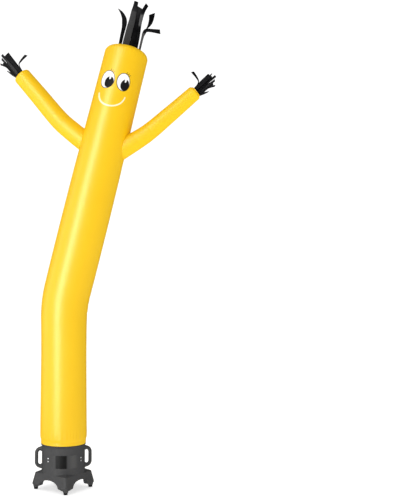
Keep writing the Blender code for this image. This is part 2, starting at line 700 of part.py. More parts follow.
def rim_screws(where, finish):
    inner = WALL_IN
    made = []
    for k in range(NOTCHES):
        azimuth = NOTCH_FIRST + k * 2.0 * math.pi / NOTCHES
        name = "rim_screw_%d" % (k + 1)
        pin = domed_pin(name, SCREW_RADIUS, SCREW_LENGTH, SCREW_DOME, where, finish)
        pin.matrix_world = facing_out(azimuth, inner, NOTCH_Z + GAP + SCREW_RADIUS)
        made.append(pin)
    return made


def rivets(where, finish):
    flat = WALL_OUT * math.cos(math.pi / ROUND)
    made = []
    for side, name in ((-1.0, "left"), (1.0, "right")):
        for z, level in zip(RIVET_Z, ("low", "high")):
            label = "rivet_%s_%s" % (name, level)
            pin = domed_pin(label, RIVET_RADIUS, RIVET_LENGTH, RIVET_DOME, where, finish)
            pin.matrix_world = facing_out(side * RIVET_AZIMUTH, flat + GAP, z)
            made.append(pin)
    return made


def front_plate(where, finish):
    """A thin curved plate on the front of the cylinder."""
    inside = WALL_OUT + GAP
    steps = round(2.0 * PLATE_HALF / (2.0 * math.pi / ROUND))
    bm = bmesh.new()
    rows = []
    for z in PLATE_Z:
        turns = (-PLATE_HALF + 2.0 * PLATE_HALF * k / steps for k in range(steps + 1))
        points = [(inside * math.sin(a), -inside * math.cos(a), z) for a in turns]
        rows.append([bm.verts.new(point) for point in points])
    for k in range(steps):
        bm.faces.new((rows[0][k], rows[0][k + 1], rows[1][k + 1], rows[1][k]))
    made = add_object("front_plate", mesh_from(bm, "front_plate"), where, finish)
    sheet = made.modifiers.new("sheet", "SOLIDIFY")
    sheet.thickness = PLATE_SHEET
    sheet.offset = 1.0
    return made


def feet(where, finish):
    made = []
    for name, spot in legs():
        foot = cylinder("foot_" + name, FOOT_RADIUS, 0.0, BOSS_Z - GAP, 20, where, finish)
        foot.location = spot
        edge = foot.modifiers.new("edge", "BEVEL")
        edge.width = 0.0012
        edge.segments = 1
        edge.limit_method = "ANGLE"
        edge.angle_limit = math.radians(60.0)
        made.append(foot)
    return made


# ---------------------------------------------------------------- assembly
def main():
    clear_scene()
    parts = new_collection("inflatable_air_dancer")
    cutters = new_collection("cutters")
    finishes = {name: new_material(name) for name in FINISHES}

    yellow = finishes["tube_cloth"]
    black = finishes["streamer_cloth"]
    plastic = finishes["housing_plastic"]
    steel = finishes["bare_steel"]

    core = tube_core(cutters)
    body_tube(parts, cutters, yellow)
    for name in ARM_ROWS:
        arm(name, core, parts, yellow)
    tuft("hair", hair_band(), HAIR, crown_frame(), parts, cutters, black)
    for arm_name, hand, rows in (
        ("arm_left", "fingers_left", LEFT_FINGERS), ("arm_right", "fingers_right", RIGHT_FINGERS)
    ):
        tuft(hand, finger_band(), rows, cuff_frame(arm_name), parts, cutters, black)

    housing(parts, cutters, plastic)
    collar_strap(parts, finishes["strap_webbing"])
    grille(parts, cutters, steel)
    rim_screws(parts, steel)
    rivets(parts, steel)
    front_plate(parts, plastic)
    feet(parts, finishes["foot_rubber"])

    # everything hangs from one empty on the blower's axis
    root = bpy.data.objects.new("blower_axis", None)
    parts.objects.link(root)
    root.location = (*BLOWER_AXIS, 0.0)
    for piece in [*parts.objects, *cutters.objects]:
        if piece is not root:
            piece.parent = root


main()
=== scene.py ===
import math

import bmesh
import bpy
import numpy as np
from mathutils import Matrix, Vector


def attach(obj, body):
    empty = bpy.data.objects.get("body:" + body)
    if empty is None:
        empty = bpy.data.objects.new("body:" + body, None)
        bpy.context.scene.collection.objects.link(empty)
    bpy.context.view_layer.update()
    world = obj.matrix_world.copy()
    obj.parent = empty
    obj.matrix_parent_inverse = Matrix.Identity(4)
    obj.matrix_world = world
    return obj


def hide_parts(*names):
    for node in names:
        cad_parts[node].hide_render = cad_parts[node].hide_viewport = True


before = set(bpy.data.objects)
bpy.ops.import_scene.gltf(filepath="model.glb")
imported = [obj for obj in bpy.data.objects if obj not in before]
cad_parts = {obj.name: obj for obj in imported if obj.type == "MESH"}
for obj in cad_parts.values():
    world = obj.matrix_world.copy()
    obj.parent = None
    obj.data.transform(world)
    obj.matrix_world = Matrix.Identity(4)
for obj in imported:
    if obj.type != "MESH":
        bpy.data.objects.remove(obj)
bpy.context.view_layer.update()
print("dancer: frame loaded")

blowerAxis = np.array([-0.280, 0.0, 0.0])


# surfaces on a grid of two parameters
def unit(v):
    # each vector over its own length
    return v / np.maximum(np.linalg.norm(v, axis=-1, keepdims=True), 1e-12)


def smoothLine(rows, steps):
    # cubic through the rows: half of (2p1 + slope t + curve t^2 + twist t^3), for t from 0 to 1
    p = np.array(rows, dtype=float)
    p = np.vstack([2 * p[0] - p[1], p, 2 * p[-1] - p[-2]])
    a, b, c, d = p[:-3, None], p[1:-2, None], p[2:-1, None], p[3:, None]
    t = (np.arange(steps) / steps)[None, :, None]
    line = 0.5 * (2 * b + (c - a) * t + (2 * a - 5 * b + 4 * c - d) * t**2
                  + (-a + 3 * b - 3 * c + d) * t**3)
    return np.vstack([line.reshape(-1, p.shape[1]), p[-2]])


def resample(rows, t):
    # values of the rows at parameters t between 0 and their last index, straight between rows
    rows = np.asarray(rows, dtype=float)
    index = np.arange(len(rows))
    return np.stack([np.interp(t, index, rows[:, k]) for k in range(rows.shape[1])], axis=1)


def tangents(line):
    # unit steps from the point before to the point after
    padded = np.vstack([line[:1], line, line[-1:]])
    return unit(padded[2:] - padded[:-2])


def smoothStep(low, high, x):
    # 0 below low, 1 above high, 3t^2 - 2t^3 between
    t = np.clip((x - low) / (high - low), 0.0, 1.0)
    return t * t * (3.0 - 2.0 * t)


def circle(count):
    # the angles of points spaced evenly round a circle
    return 2.0 * math.pi * np.arange(count) / count


def turnBetween(a, b):
    # the turn from b to a, brought between minus and plus half a turn
    return (a - b + math.pi) % (2.0 * math.pi) - math.pi


def fade(x, width):
    # 1 in the middle, falling on both sides as exp(-(x / width)^2)
    return np.exp(-((x / width) ** 2))


def lengthAlong(line):
    # the sum of the steps from the first point to each point
    return np.append(0.0, np.cumsum(np.linalg.norm(np.diff(line, axis=0), axis=1)))


def ringAbout(angle, side, third):
    # cosine times one axis and sine times the other
    return np.cos(angle)[None, :, None] * side + np.sin(angle)[None, :, None] * third


def outFrom(azimuth):
    # the level direction (sine, -cosine) at an azimuth, from the front towards +X
    azimuth = np.asarray(azimuth)
    return np.stack([np.sin(azimuth), -np.cos(azimuth), 0.0 * azimuth], -1)


def placed(name, data):
    made = bpy.data.objects.new(name, data)
    bpy.context.scene.collection.objects.link(made)
    return made


def gridPiece(name, points, material, uv=None, wrapAcross=True, wrapAlong=False, outward=None):
    # quads between neighbours of a grid (along, across, xyz); wrapped sides join up
    rows, columns = points.shape[:2]
    along = np.arange(rows if wrapAlong else rows - 1)
    across = np.arange(columns if wrapAcross else columns - 1)
    i, j = np.meshgrid(along, across, indexing="ij")
    i2, j2 = (i + 1) % rows, (j + 1) % columns
    faces = np.stack([i * columns + j, i * columns + j2, i2 * columns + j2, i2 * columns + j], -1)
    faces = faces.reshape(-1, 4)
    corners = np.stack([(i, j), (i, j + 1), (i + 1, j + 1), (i + 1, j)]).reshape(4, 2, -1)
    flat = points.reshape(-1, 3)
    if outward is not None:
        a, b, c = (flat[faces[:, k]] for k in (0, 1, 3))
        facing = np.cross(b - a, c - a)
        middle = flat[faces].mean(axis=1)
        if np.sum(facing * (middle - outward(middle))) < 0.0:
            faces = faces[:, ::-1]
            corners = corners[::-1]
    mesh = bpy.data.meshes.new(name)
    mesh.vertices.add(len(flat))
    mesh.vertices.foreach_set("co", flat.astype(np.float32).ravel())
    mesh.loops.add(faces.size)
    mesh.loops.foreach_set("vertex_index", faces.astype(np.int32).ravel())
    mesh.polygons.add(len(faces))
    mesh.polygons.foreach_set("loop_start", np.arange(0, faces.size, 4, dtype=np.int32))
    mesh.update(calc_edges=True)
    if uv is not None:
        u, v = uv            # u has one value more than the columns, v one for each row
        across = np.asarray(u)[corners[:, 1, :].T]
        down = np.asarray(v)[np.minimum(corners[:, 0, :], rows - 1).T]
        layer = mesh.uv_layers.new(name="cloth")
        layer.data.foreach_set("uv", np.stack([across, down], -1).astype(np.float32).ravel())
    mesh.shade_smooth()
    mesh.validate()
    mesh.materials.append(material)
    return placed(name, mesh)


def closeRows(piece, count, rows, turnOut=True):
    # one many-sided face over each given row of points; then, where asked, all faces turned out
    bm = bmesh.new()
    bm.from_mesh(piece.data)
    bm.verts.ensure_lookup_table()
    for row in rows:
        ring = bm.verts[row * count:(row + 1) * count]
        bm.faces.new(ring if row else ring[::-1]).smooth = True
    if turnOut:
        bm.normal_update()
        bmesh.ops.recalc_face_normals(bm, faces=bm.faces)
    bm.to_mesh(piece.data)
    bm.free()


def giveThickness(piece, thickness, offset=-1.0):
    cloth = piece.modifiers.new("thickness", "SOLIDIFY")
    cloth.thickness = thickness
    cloth.offset = offset
    cloth.use_even_offset = True


def joinPieces(name, pieces):
    # one mesh from several, each kept as it is
    bm = bmesh.new()
    for piece in pieces:
        bm.from_mesh(piece.data)
    mesh = bpy.data.meshes.new(name)
    bm.to_mesh(mesh)
    bm.free()
    for material in pieces[0].data.materials:
        mesh.materials.append(material)
    made = placed(name, mesh)
    for piece in pieces:
        bpy.data.objects.remove(piece, do_unlink=True)
    return made


# camera, at eye level and a little to the left of the front leg
cameraSettings = {
    "place": (-0.39297, -4.88422, 1.25),   # from the blower's axis
    "look": (0.141236, 0.987758, 0.066231),
    "lens": 52.21,
    "shiftX": 0.196,
}


def makeCamera(settings):
    data = bpy.data.cameras.new("view")
    data.lens = settings["lens"]
    data.sensor_width = 36.0
    data.shift_x = settings["shiftX"]
    data.clip_end = 200.0
    made = placed("view", data)
    made.location = Vector(settings["place"]) + Vector(blowerAxis)
    made.rotation_mode = "QUATERNION"
    made.rotation_quaternion = Vector(settings["look"]).to_track_quat("-Z", "Y")
    bpy.context.scene.camera = made


makeCamera(cameraSettings)


# nodes: a field is a socket that takes the usual signs, and a bench places the nodes of one tree
class Field:
    def __init__(self, bench, socket):
        self.bench = bench
        self.socket = socket

    def __add__(self, other):
        return self.bench.maths("ADD", self, other)

    def __sub__(self, other):
        return self.bench.maths("SUBTRACT", self, other)

    def __rsub__(self, other):
        return self.bench.maths("SUBTRACT", other, self)

    def __mul__(self, other):
        return self.bench.maths("MULTIPLY", self, other)

    def __truediv__(self, other):
        return self.bench.maths("DIVIDE", self, other)


class Bench:
    def __init__(self, tree):
        self.tree = tree

    def join(self, sockets, values):
        # a field is linked to its socket, and a plain value is set on it
        for key, value in values.items():
            socket = sockets[key.replace("_", " ") if isinstance(key, str) else key]
            if isinstance(value, Field):
                self.tree.links.new(value.socket, socket)
            else:
                socket.default_value = value

    def node(self, kind, inputs=None, output=0, **settings):
        made = self.tree.nodes.new("ShaderNode" + kind)
        for key, value in settings.items():
            setattr(made, key, value)
        self.join(made.inputs, inputs or {})
        return Field(self, made.outputs[output])

    def maths(self, operation, *values):
        return self.node("Math", dict(enumerate(values)), operation=operation)

    def vector(self, operation, *values):
        output = "Value" if operation in ("DOT_PRODUCT", "LENGTH") else "Vector"
        return self.node("VectorMath", dict(enumerate(values)), output, operation=operation)

    def parts(self, vector):
        made = self.node("SeparateXYZ", {0: vector}).socket.node
        return [Field(self, socket) for socket in made.outputs]

    def mix(self, factor, a, b):
        return self.node("Mix", {0: factor, 6: a, 7: b}, 2, data_type="RGBA")

    def ramp(self, value, low, high, fromValue=0.0, toValue=1.0, kind="SMOOTHSTEP"):
        inputs = dict(enumerate((value, low, high, fromValue, toValue)))
        return self.node("MapRange", inputs, interpolation_type=kind)

    def between(self, value, start, full, fall, end):
        # 0 up to the start, 1 from full to fall, 0 past the end
        return self.ramp(value, start, full) * self.ramp(value, end, fall)

    def bump(self, strength, distance, height):
        return self.node("Bump", {"Strength": strength, "Distance": distance, "Height": height})

    def group(self, tree, **inputs):
        made = self.tree.nodes.new("ShaderNodeGroup")
        made.node_tree = tree
        self.join(made.inputs, inputs)
        return {socket.name: Field(self, socket) for socket in made.outputs}

    def place(self):
        return self.node("TexCoord", output="Object")

    def cloth(self):
        return self.node("UVMap", uv_map="cloth")


def newGroup(name, inputs, outputs):
    # an input with no value is a vector; the other inputs and all outputs are numbers
    tree = bpy.data.node_groups.new(name, "ShaderNodeTree")
    for label, value in inputs.items():
        kind = "NodeSocketVector" if value is None else "NodeSocketFloat"
        socket = tree.interface.new_socket(name=label, in_out="INPUT", socket_type=kind)
        if value is not None:
            socket.default_value = value
    for label in outputs:
        tree.interface.new_socket(name=label, in_out="OUTPUT", socket_type="NodeSocketFloat")
    put = Bench(tree)
    given = {socket.name: Field(put, socket) for socket in tree.nodes.new("NodeGroupInput").outputs}
    return put, given, tree.nodes.new("NodeGroupOutput").inputs


def newMaterial(name, **values):
    made = bpy.data.materials.new(name)
    made.use_nodes = True
    put = Bench(made.node_tree)
    shader = made.node_tree.nodes["Principled BSDF"].inputs
    put.join(shader, values)
    return made, put, shader


def clothWeaveGroup():
    # threads both ways, with a thicker thread every few millimetres, on metres of cloth
    put, given, wanted = newGroup(
        "clothWeave", {"Cloth": None, "Grid": 0.006, "Thread": 0.0007, "Ripstop": 1.0},
        ["Height", "Lines"])
    weave, lines = [], []
    for axis in put.parts(given["Cloth"])[:2]:
        weave.append(put.maths("SINE", axis / given["Thread"] * math.pi))
        away = put.maths("ABSOLUTE", put.maths("FRACT", axis / given["Grid"]) - 0.5)
        lines.append(put.ramp(away, 0.44, 0.49))
    grid = put.maths("MAXIMUM", *lines) * given["Ripstop"]
    put.join(wanted, {"Height": weave[0] * weave[1] * 0.25 + grid, "Lines": grid})
    return put.tree


def agedGroup():
    # broad soft patches and fine specks, both from 0 to 1
    put, given, wanted = newGroup(
        "agedSurface", {"Place": None, "Patch Scale": 3.0, "Speck Scale": 400.0}, ["Patches", "Specks"])
    place, broad, fine = given["Place"], given["Patch Scale"], given["Speck Scale"]
    patches = put.node("TexNoise", {"Vector": place, "Scale": broad, "Detail": 4.0, "Roughness": 0.55})
    specks = put.node("TexNoise", {"Vector": place, "Scale": fine, "Detail": 2.0})
    put.join(wanted, {"Patches": put.ramp(patches, 0.30, 0.70), "Specks": put.ramp(specks, 0.35, 0.65)})
    return put.tree


def ovalGroup():
    # 1 inside a leaning oval, 0 outside, with a soft edge: length of (x / a, y / b) against 1
    put, given, wanted = newGroup("paintedOval", {
        "Across": 0.0, "Down": 0.0, "Centre Across": 0.0, "Centre Down": 0.0,
        "Half Width": 0.05, "Half Height": 0.05, "Lean": 0.0, "Soft": 0.02}, ["Mask"])
    x = given["Across"] - given["Centre Across"]
    y = given["Down"] - given["Centre Down"]
    cosine = put.maths("COSINE", given["Lean"])
    sine = put.maths("SINE", given["Lean"])
    a = (x * cosine + y * sine) / given["Half Width"]
    b = (y * cosine - x * sine) / given["Half Height"]
    away = put.maths("SQRT", a * a + b * b)
    put.join(wanted, {"Mask": put.ramp(away, given["Soft"] + 1.0, 1.0 - given["Soft"])})
    return put.tree


def strokeGroup():
    # 1 near the straight line from a start to an end: distance to it against a half width that
    # shrinks to 0.4 of itself at the end
    put, given, wanted = newGroup(
        "paintedStroke", {"Place": None, "Start": None, "End": None, "Half Width": 0.003}, ["Mask"])
    fromStart = put.vector("SUBTRACT", given["Place"], given["Start"])
    line = put.vector("SUBTRACT", given["End"], given["Start"])
    share = put.vector("DOT_PRODUCT", fromStart, line) / put.vector("DOT_PRODUCT", line, line)
    share = put.node("Clamp", {"Value": share})
    along = put.node("VectorMath", {0: line, "Scale": share}, operation="SCALE")
    away = put.vector("LENGTH", put.vector("SUBTRACT", fromStart, along))
    thin = given["Half Width"] * (1.0 - share * 0.6)
    put.join(wanted, {"Mask": put.ramp(away, thin + 0.0012, thin)})
    return put.tree


clothWeave = clothWeaveGroup()
agedSurface = agedGroup()
paintedOval = ovalGroup()
paintedStroke = strokeGroup()

# the face, in metres across and down from the crown on the cloth's front
faceDesign = {
    "eyes": [                 # centre, half size, pupil's shift and half size, notch's shift
        ((-0.0545, 0.2765), (0.0500, 0.0600), (0.0170, 0.0180), (0.0330, 0.0400), (0.0190, -0.0150)),
        ((0.0619, 0.2765), (0.0440, 0.0588), (0.0140, 0.0180), (0.0300, 0.0405), (0.0130, -0.0145)),
    ],
    "rim": 0.0046,
    "eyeLean": -0.12,
    "pupilLean": 0.14,
    "notchHalf": (0.0062, 0.0150),
    "lashAngles": (8.0, 22.0, 34.0),                  # from straight up, in degrees
    "lashLength": 0.020,
    "lashHalf": 0.0019,
    "lashFrom": 0.95,                                 # how far out on the eye a lash starts
    "lashTurn": 0.2,
    "rimStrength": 0.97,
    "smileStrength": 0.92,
    "smileCentre": (0.0010, 0.3600),
    "smileRadius": 0.0975,
    "smileWidth": (0.0074, 0.0050),                   # half widths at its left and right ends
    "smileEnds": (-85.0, 85.0),                       # from straight down, in degrees
}
clothColours = {
    "yellow": (0.97, 0.580, 0.002, 1.0),
    "yellowPale": (0.98, 0.600, 0.003, 1.0),
    "white": (1.0, 1.0, 1.0, 1.0),
    "black": (0.012, 0.012, 0.013, 1.0),
    "cream": (1.0, 0.97, 0.66, 1.0),
    "seam": (0.78, 0.40, 0.004, 1.0),
    "rim": (0.012, 0.008, 0.004, 1.0),
}


def paintFace(put, cloth, colour):
    # each eye has lashes, a rim, a white and a notched pupil; the sum of the pupils is the ink
    design = faceDesign
    ink = 0.0
    across, down = put.parts(cloth)[:2]

    def oval(centre, half, lean, soft=0.025):
        return put.group(
            paintedOval, Across=across, Down=down, Lean=lean, Soft=soft, Centre_Across=centre[0],
            Centre_Down=centre[1], Half_Width=half[0], Half_Height=half[1])["Mask"]

    for (x, y), half, pupilShift, pupilHalf, notchShift in design["eyes"]:
        for angle in design["lashAngles"]:
            a = math.radians(angle)
            out, reach = design["lashFrom"], design["lashLength"]
            root = (x + half[0] * out * math.sin(a), y - half[1] * out * math.cos(a), 0.0)
            a = a + design["lashTurn"]
            tip = (root[0] + reach * math.sin(a), root[1] - reach * math.cos(a), 0.0)
            lash = put.group(
                paintedStroke, Place=cloth, Start=root, End=tip, Half_Width=design["lashHalf"])
            colour = put.mix(lash["Mask"], colour, clothColours["black"])
        rim = oval((x, y), (half[0] + design["rim"], half[1] + design["rim"]), design["eyeLean"])
        colour = put.mix(rim * design["rimStrength"], colour, clothColours["rim"])
        colour = put.mix(oval((x, y), half, design["eyeLean"]), colour, clothColours["white"])
        pupil = oval((x + pupilShift[0], y + pupilShift[1]), pupilHalf, design["pupilLean"], 0.035)
        notch = oval((x + notchShift[0], y + notchShift[1]), design["notchHalf"], 0.05, 0.12)
        dark = pupil * (1.0 - notch) * rim
        ink = dark + ink
        colour = put.mix(dark, colour, clothColours["black"])
    # the smile: a part of a ring about its centre, thinner to the right
    x = across - design["smileCentre"][0]
    y = down - design["smileCentre"][1]
    away = put.maths("SQRT", x * x + y * y)
    angle = put.maths("ARCTAN2", x, y)
    low, high = (math.radians(a) for a in design["smileEnds"])
    width = put.ramp(angle, low, high, *design["smileWidth"], "LINEAR")
    off = put.maths("ABSOLUTE", away - design["smileRadius"])
    ring = put.ramp(off, width, width * 0.75)
    ends = put.between(angle, low, low + 0.08, high - 0.08, high)
    smile = ring * ends * design["smileStrength"]
    return put.mix(smile, colour, clothColours["cream"]), ink


finishes = {      # scales of patches and specks, colour, colour in the patches, the shader's values
    "tubeCloth": (2.2, 260.0, clothColours["yellow"], clothColours["yellowPale"],
                  {"Coat_Weight": 0.80, "Coat_Roughness": 0.38, "Specular_IOR_Level": 0.0}),
    "armCloth": (2.2, 260.0, clothColours["yellow"], clothColours["yellowPale"],
                 {"Coat_Weight": 0.56, "Coat_Roughness": 0.42, "Specular_IOR_Level": 0.0}),
    "streamerNylon": (14.0, 300.0, (0.0025, 0.0025, 0.003, 1.0), (0.008, 0.008, 0.009, 1.0),
                      {"Specular_IOR_Level": 0.03}),
    "housingPlastic": (7.0, 900.0, (0.063, 0.063, 0.064, 1.0), (0.071, 0.071, 0.072, 1.0),
                       {"Specular_IOR_Level": 0.12}),
    "footRubber": (7.0, 900.0, (0.001, 0.001, 0.001, 1.0), (0.003, 0.003, 0.003, 1.0),
                   {"Specular_IOR_Level": 0.02}),
    "strapWebbing": (10.0, 500.0, (0.018, 0.018, 0.021, 1.0), (0.030, 0.030, 0.035, 1.0),
                     {"Sheen_Weight": 0.2}),
    "brightSteel": (60.0, 1500.0, (0.86, 0.86, 0.87, 1.0), (0.93, 0.93, 0.94, 1.0),
                    {"Metallic": 0.35}),
    "platePlastic": (9.0, 900.0, (0.064, 0.064, 0.065, 1.0), (0.070, 0.070, 0.071, 1.0),
                     {"Specular_IOR_Level": 0.12}),
}


def agedMaterial(name):
    # a new material and its colour, which changes in broad patches, with the aged masks
    patchScale, speckScale, colour, patched, values = finishes[name]
    made, put, shader = newMaterial(name, **values)
    aged = put.group(
        agedSurface, Place=put.place(), Patch_Scale=patchScale, Speck_Scale=speckScale)
    colour = put.mix(aged["Patches"], colour, patched)
    return made, put, shader, colour, aged


def tubeClothMaterial(name, withFace=False):
    # thin thread lines over the cloth, a slow ripple, and no coat where the face is inked
    made, put, shader, colour, aged = agedMaterial(name)
    cloth = put.cloth()
    weave = put.group(clothWeave, Cloth=cloth, Grid=0.0060, Thread=0.0009)
    colour = put.mix(weave["Lines"] * 0.02, colour, clothColours["seam"])
    if withFace:
        colour, ink = paintFace(put, cloth, colour)
        put.join(shader, {"Coat Weight": ink * -0.72 + shader["Coat Weight"].default_value})
    ripple = put.node("TexNoise", {"Vector": put.place(), "Scale": 9.0, "Detail": 1.0})
    put.join(shader, {
        "Base Color": colour, "Roughness": weave["Lines"] * 0.05 + (aged["Specks"] * 0.06 + 0.38),
        "Normal": put.bump(0.08, 0.001, ripple * 2.0 + weave["Height"] * 0.02)})
    return made


def streamerMaterial():
    # nylon lit along its folds: paler by the amount painted on each ribbon
    made, put, shader, colour, aged = agedMaterial("streamerNylon")
    weave = put.group(clothWeave, Cloth=put.cloth(), Grid=0.0060, Thread=0.0009, Ripstop=0.4)
    pale = put.node("Attribute", output="Fac", attribute_name="pale")
    put.join(shader, {
        "Base Color": put.mix(pale * 0.32, colour, (0.15, 0.15, 0.152, 1.0)),
        "Roughness": aged["Patches"] * 0.18 + 0.34, "Normal": put.bump(0.35, 0.0008, weave["Height"])})
    return made


def plasticMaterial(name, roughness):
    # fine specks, and edges worn a little paler
    made, put, shader, colour, aged = agedMaterial(name)
    worn = put.ramp(put.node("NewGeometry", output="Pointiness"), 0.52, 0.60) * 0.35
    put.join(shader, {
        "Base Color": put.mix(worn, colour, (0.11, 0.11, 0.11, 1.0)),
        "Roughness": aged["Specks"] * 0.10 + roughness,
        "Normal": put.bump(0.25, 0.0004, aged["Specks"])})
    return made


def strapMaterial():
    # ribs of webbing run round the strap, with one pale stitch line across it
    made, put, shader, colour, aged = agedMaterial("strapWebbing")
    cloth = put.cloth()
    weave = put.group(clothWeave, Cloth=cloth, Grid=0.0040, Thread=0.0012, Ripstop=0.5)
    start, end = (0.0, -0.0115, 0.0), (0.0, 0.0100, 0.0)
    stitch = put.group(paintedStroke, Place=cloth, Start=start, End=end, Half_Width=0.0007)
    put.join(shader, {
        "Base Color": put.mix(stitch["Mask"], colour, (0.60, 0.60, 0.62, 1.0)),
        "Roughness": aged["Specks"] * 0.1 + 0.62, "Normal": put.bump(0.6, 0.0008, weave["Height"])})
    return made


def steelMaterial():
    made, put, shader, colour, aged = agedMaterial("brightSteel")
    put.join(shader, {"Base Color": colour, "Roughness": aged["Specks"] * 0.12 + 0.20})
    return made


plateParts = {      # places across the plate where each painted reflection starts, is full, fades and ends
    "darkReflection": (-0.072, -0.056, 0.004, 0.018),
    "pale": (0.014, 0.055, 0.060, 0.094),
}


def plateMaterial():
    # a plain plate with a painted dark reflection left of its middle, glossier there; its right part is
    # paler, a painted paler reflection
    made, put, shader, colour = agedMaterial("platePlastic")[:4]
    across = put.parts(put.cloth())[0]
    # painted reflections: a dark band left of the middle, and a paler part to its right
    darkReflection = put.between(across, *plateParts["darkReflection"])
    colour = put.mix(put.between(across, *plateParts["pale"]), colour, (0.088, 0.088, 0.088, 1.0))
    put.join(shader, {
        "Base Color": put.mix(darkReflection, colour, (0.010, 0.010, 0.010, 1.0)),
        "Roughness": darkReflection * -0.10 + 0.50})
    return made


tubeCloth = tubeClothMaterial("tubeCloth", withFace=True)
armCloth = tubeClothMaterial("armCloth")
streamerCloth = streamerMaterial()
housingPlastic = plasticMaterial("housingPlastic", 0.50)
footRubber = plasticMaterial("footRubber", 0.70)
strapWebbing = strapMaterial()
brightSteel = steelMaterial()
platePlastic = plateMaterial()
print("dancer: materials made")

# the tube of the body
tubeSizes = {
    "rows": [                 # height of the section's centre, outer radius
        (0.2955, 0.1488), (0.3190, 0.1496), (0.3280, 0.1522), (0.3450, 0.1540), (0.4000, 0.1545),
        (0.5200, 0.1535), (0.8400, 0.1515), (1.0000, 0.1521), (1.0800, 0.1533), (1.1600, 0.1555),
        (1.2400, 0.1574), (1.3200, 0.1587), (1.4800, 0.1600), (1.6400, 0.1608), (1.8100, 0.1610),
        (2.1400, 0.1597), (2.5600, 0.1551), (2.8000, 0.1530), (2.9270, 0.1520),
    ],
    "lean": math.radians(13.90),
    "bendStart": 1.102,
    "bendRadius": 0.88,
    "shoulder": 0.040,
    "flat": 0.088,
    "rise": 0.006,
    "columns": 224,
    "cloth": 0.0012,
    "face": math.radians(-18.0),   # azimuth of the cloth's front, from the front leg towards +X
    "clothRadius": 0.1545,
    "hemGathers": (0.0008, 34.0, 2.0, 5.0),   # height, count, then how far and often they wander
    "endGathers": (0.0007, 46.0, 1.7, 7.0),
    "hemSeam": 0.060,
    "hemSpread": 0.035,
    "endSpread": 0.022,
}


def tubeCentre(z):
    # straight up, then a circular bend, then a straight line at the lean
    size = tubeSizes
    top = size["bendStart"] + size["bendRadius"] * math.sin(size["lean"])
    rise = (z - size["bendStart"]) / size["bendRadius"]
    lean = np.arcsin(np.clip(rise, 0.0, math.sin(size["lean"])))
    x = size["bendRadius"] * (1.0 - np.cos(lean)) + np.maximum(z - top, 0.0) * math.tan(size["lean"])
    centre = np.stack([x, np.zeros_like(x), z], -1) + blowerAxis
    return centre, lean


def tubeAxes(lean):
    # across and along the tube: (cosine, -sine) and (sine, cosine) of its lean, on X and Z
    level = 0.0 * lean
    across = np.stack([np.cos(lean), level, -np.sin(lean)], -1)
    return across, np.stack([np.sin(lean), level, np.cos(lean)], -1)


def roundedEnd(radius, shoulder, flat, rise, steps=10):
    # a quarter round of the shoulder's radius, then a line that rises a little to the flat
    turn = np.radians(np.linspace(0.0, 82.0, steps))[1:]
    past = shoulder * np.sin(turn)
    out = radius - shoulder * (1.0 - np.cos(turn))
    share = np.linspace(0.0, 1.0, 7)[1:]
    past = np.append(past, past[-1] + (shoulder + rise - past[-1]) * (1.0 - (1.0 - share) ** 1.6))
    out = np.append(out, out[-1] + (flat - out[-1]) * share)
    inner = flat * np.array([0.72, 0.45, 0.20, 0.06])
    past = np.append(past, past[-1] + 0.0006 * (1.0 - (inner / flat) ** 2))
    return past, np.append(out, inner)


def makeTube():
    # rings of the wall's and the rounded end's radii, square to the centre line, with the relief
    size = tubeSizes
    wall = smoothLine(size["rows"], 9)
    z, radius = wall.T
    centre, lean = tubeCentre(z)
    past, out = roundedEnd(radius[-1], size["shoulder"], size["flat"], size["rise"])
    centre = np.vstack([centre, centre[-1] + past[:, None] * tubeAxes(lean[-1])[1]])
    lean = np.append(lean, np.full(len(past), lean[-1]))
    radius = np.append(radius, out)
    steps = lengthAlong(np.column_stack([centre, radius]))
    shoulder = steps[len(wall) - 1]
    theta = size["face"] + math.pi / 2.0 + circle(size["columns"])       # the seam is at the back
    reach = radius[:, None] + tubeRelief(*np.meshgrid(steps, theta, indexing="ij"), shoulder)
    ring = ringAbout(theta, tubeAxes(lean)[0][:, None], np.array([0.0, 1.0, 0.0]))
    points = centre[:, None] + reach[:, :, None] * ring
    girth = np.linspace(-math.pi, math.pi, size["columns"] + 1) * size["clothRadius"]
    uv = (girth, shoulder + size["shoulder"] + size["rise"] - steps)

    def middle(p):
        return np.stack([np.interp(p[:, 2], z, centre[:len(z), 0]), 0.0 * p[:, 1], p[:, 2]], -1)

    made = gridPiece("bodyTube", points, tubeCloth, uv=uv, outward=middle)
    closeRows(made, size["columns"], [len(steps) - 1], turnOut=False)
    giveThickness(made, size["cloth"])
    return made


def trough(distance, depth, width):
    # a soft hollow: the depth times the fade
    return -depth * fade(distance, width)


def gather(angle, height, count, wander, waves):
    # small folds round a seam: height times sin(count angle + wander sin(waves angle))
    return height * np.sin(count * angle + wander * np.sin(waves * angle))


tubeCreases = [       # place along, angle in degrees, lean of the line, length, width, depth
    (0.86, -6.0, 0.10, 0.10, 0.013, 0.0014), (0.93, 6.0, -0.12, 0.12, 0.014, 0.0018),
    (0.99, -4.0, 0.08, 0.13, 0.012, 0.0016), (1.06, 8.0, -0.06, 0.10, 0.013, 0.0012),
    (1.93, -2.0, 0.55, 0.07, 0.012, 0.0013), (2.08, -14.0, 1.10, 0.08, 0.011, 0.0013),
    (1.96, 182.0, -0.55, 0.07, 0.012, 0.0013), (2.14, 194.0, -1.00, 0.08, 0.011, 0.0012),
]


def tubeRelief(s, theta, endStart):
    # gathers at the hem and at the seam of the rounded end, and creases at the bend and the arms
    size = tubeSizes
    hem = gather(theta, *size["hemGathers"]) * fade(s - size["hemSeam"], size["hemSpread"])
    relief = hem + gather(theta, *size["endGathers"]) * fade(s - endStart, size["endSpread"])
    for place, angle, lean, length, width, depth in tubeCreases:
        across = turnBetween(theta, math.radians(angle)) * 0.155
        off = (s - place) - lean * across
        relief = relief + trough(off, depth, width) * fade(across, length)
    return relief


bodyTube = makeTube()
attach(bodyTube, "root")
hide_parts("body_tube")
print("dancer: body tube made")

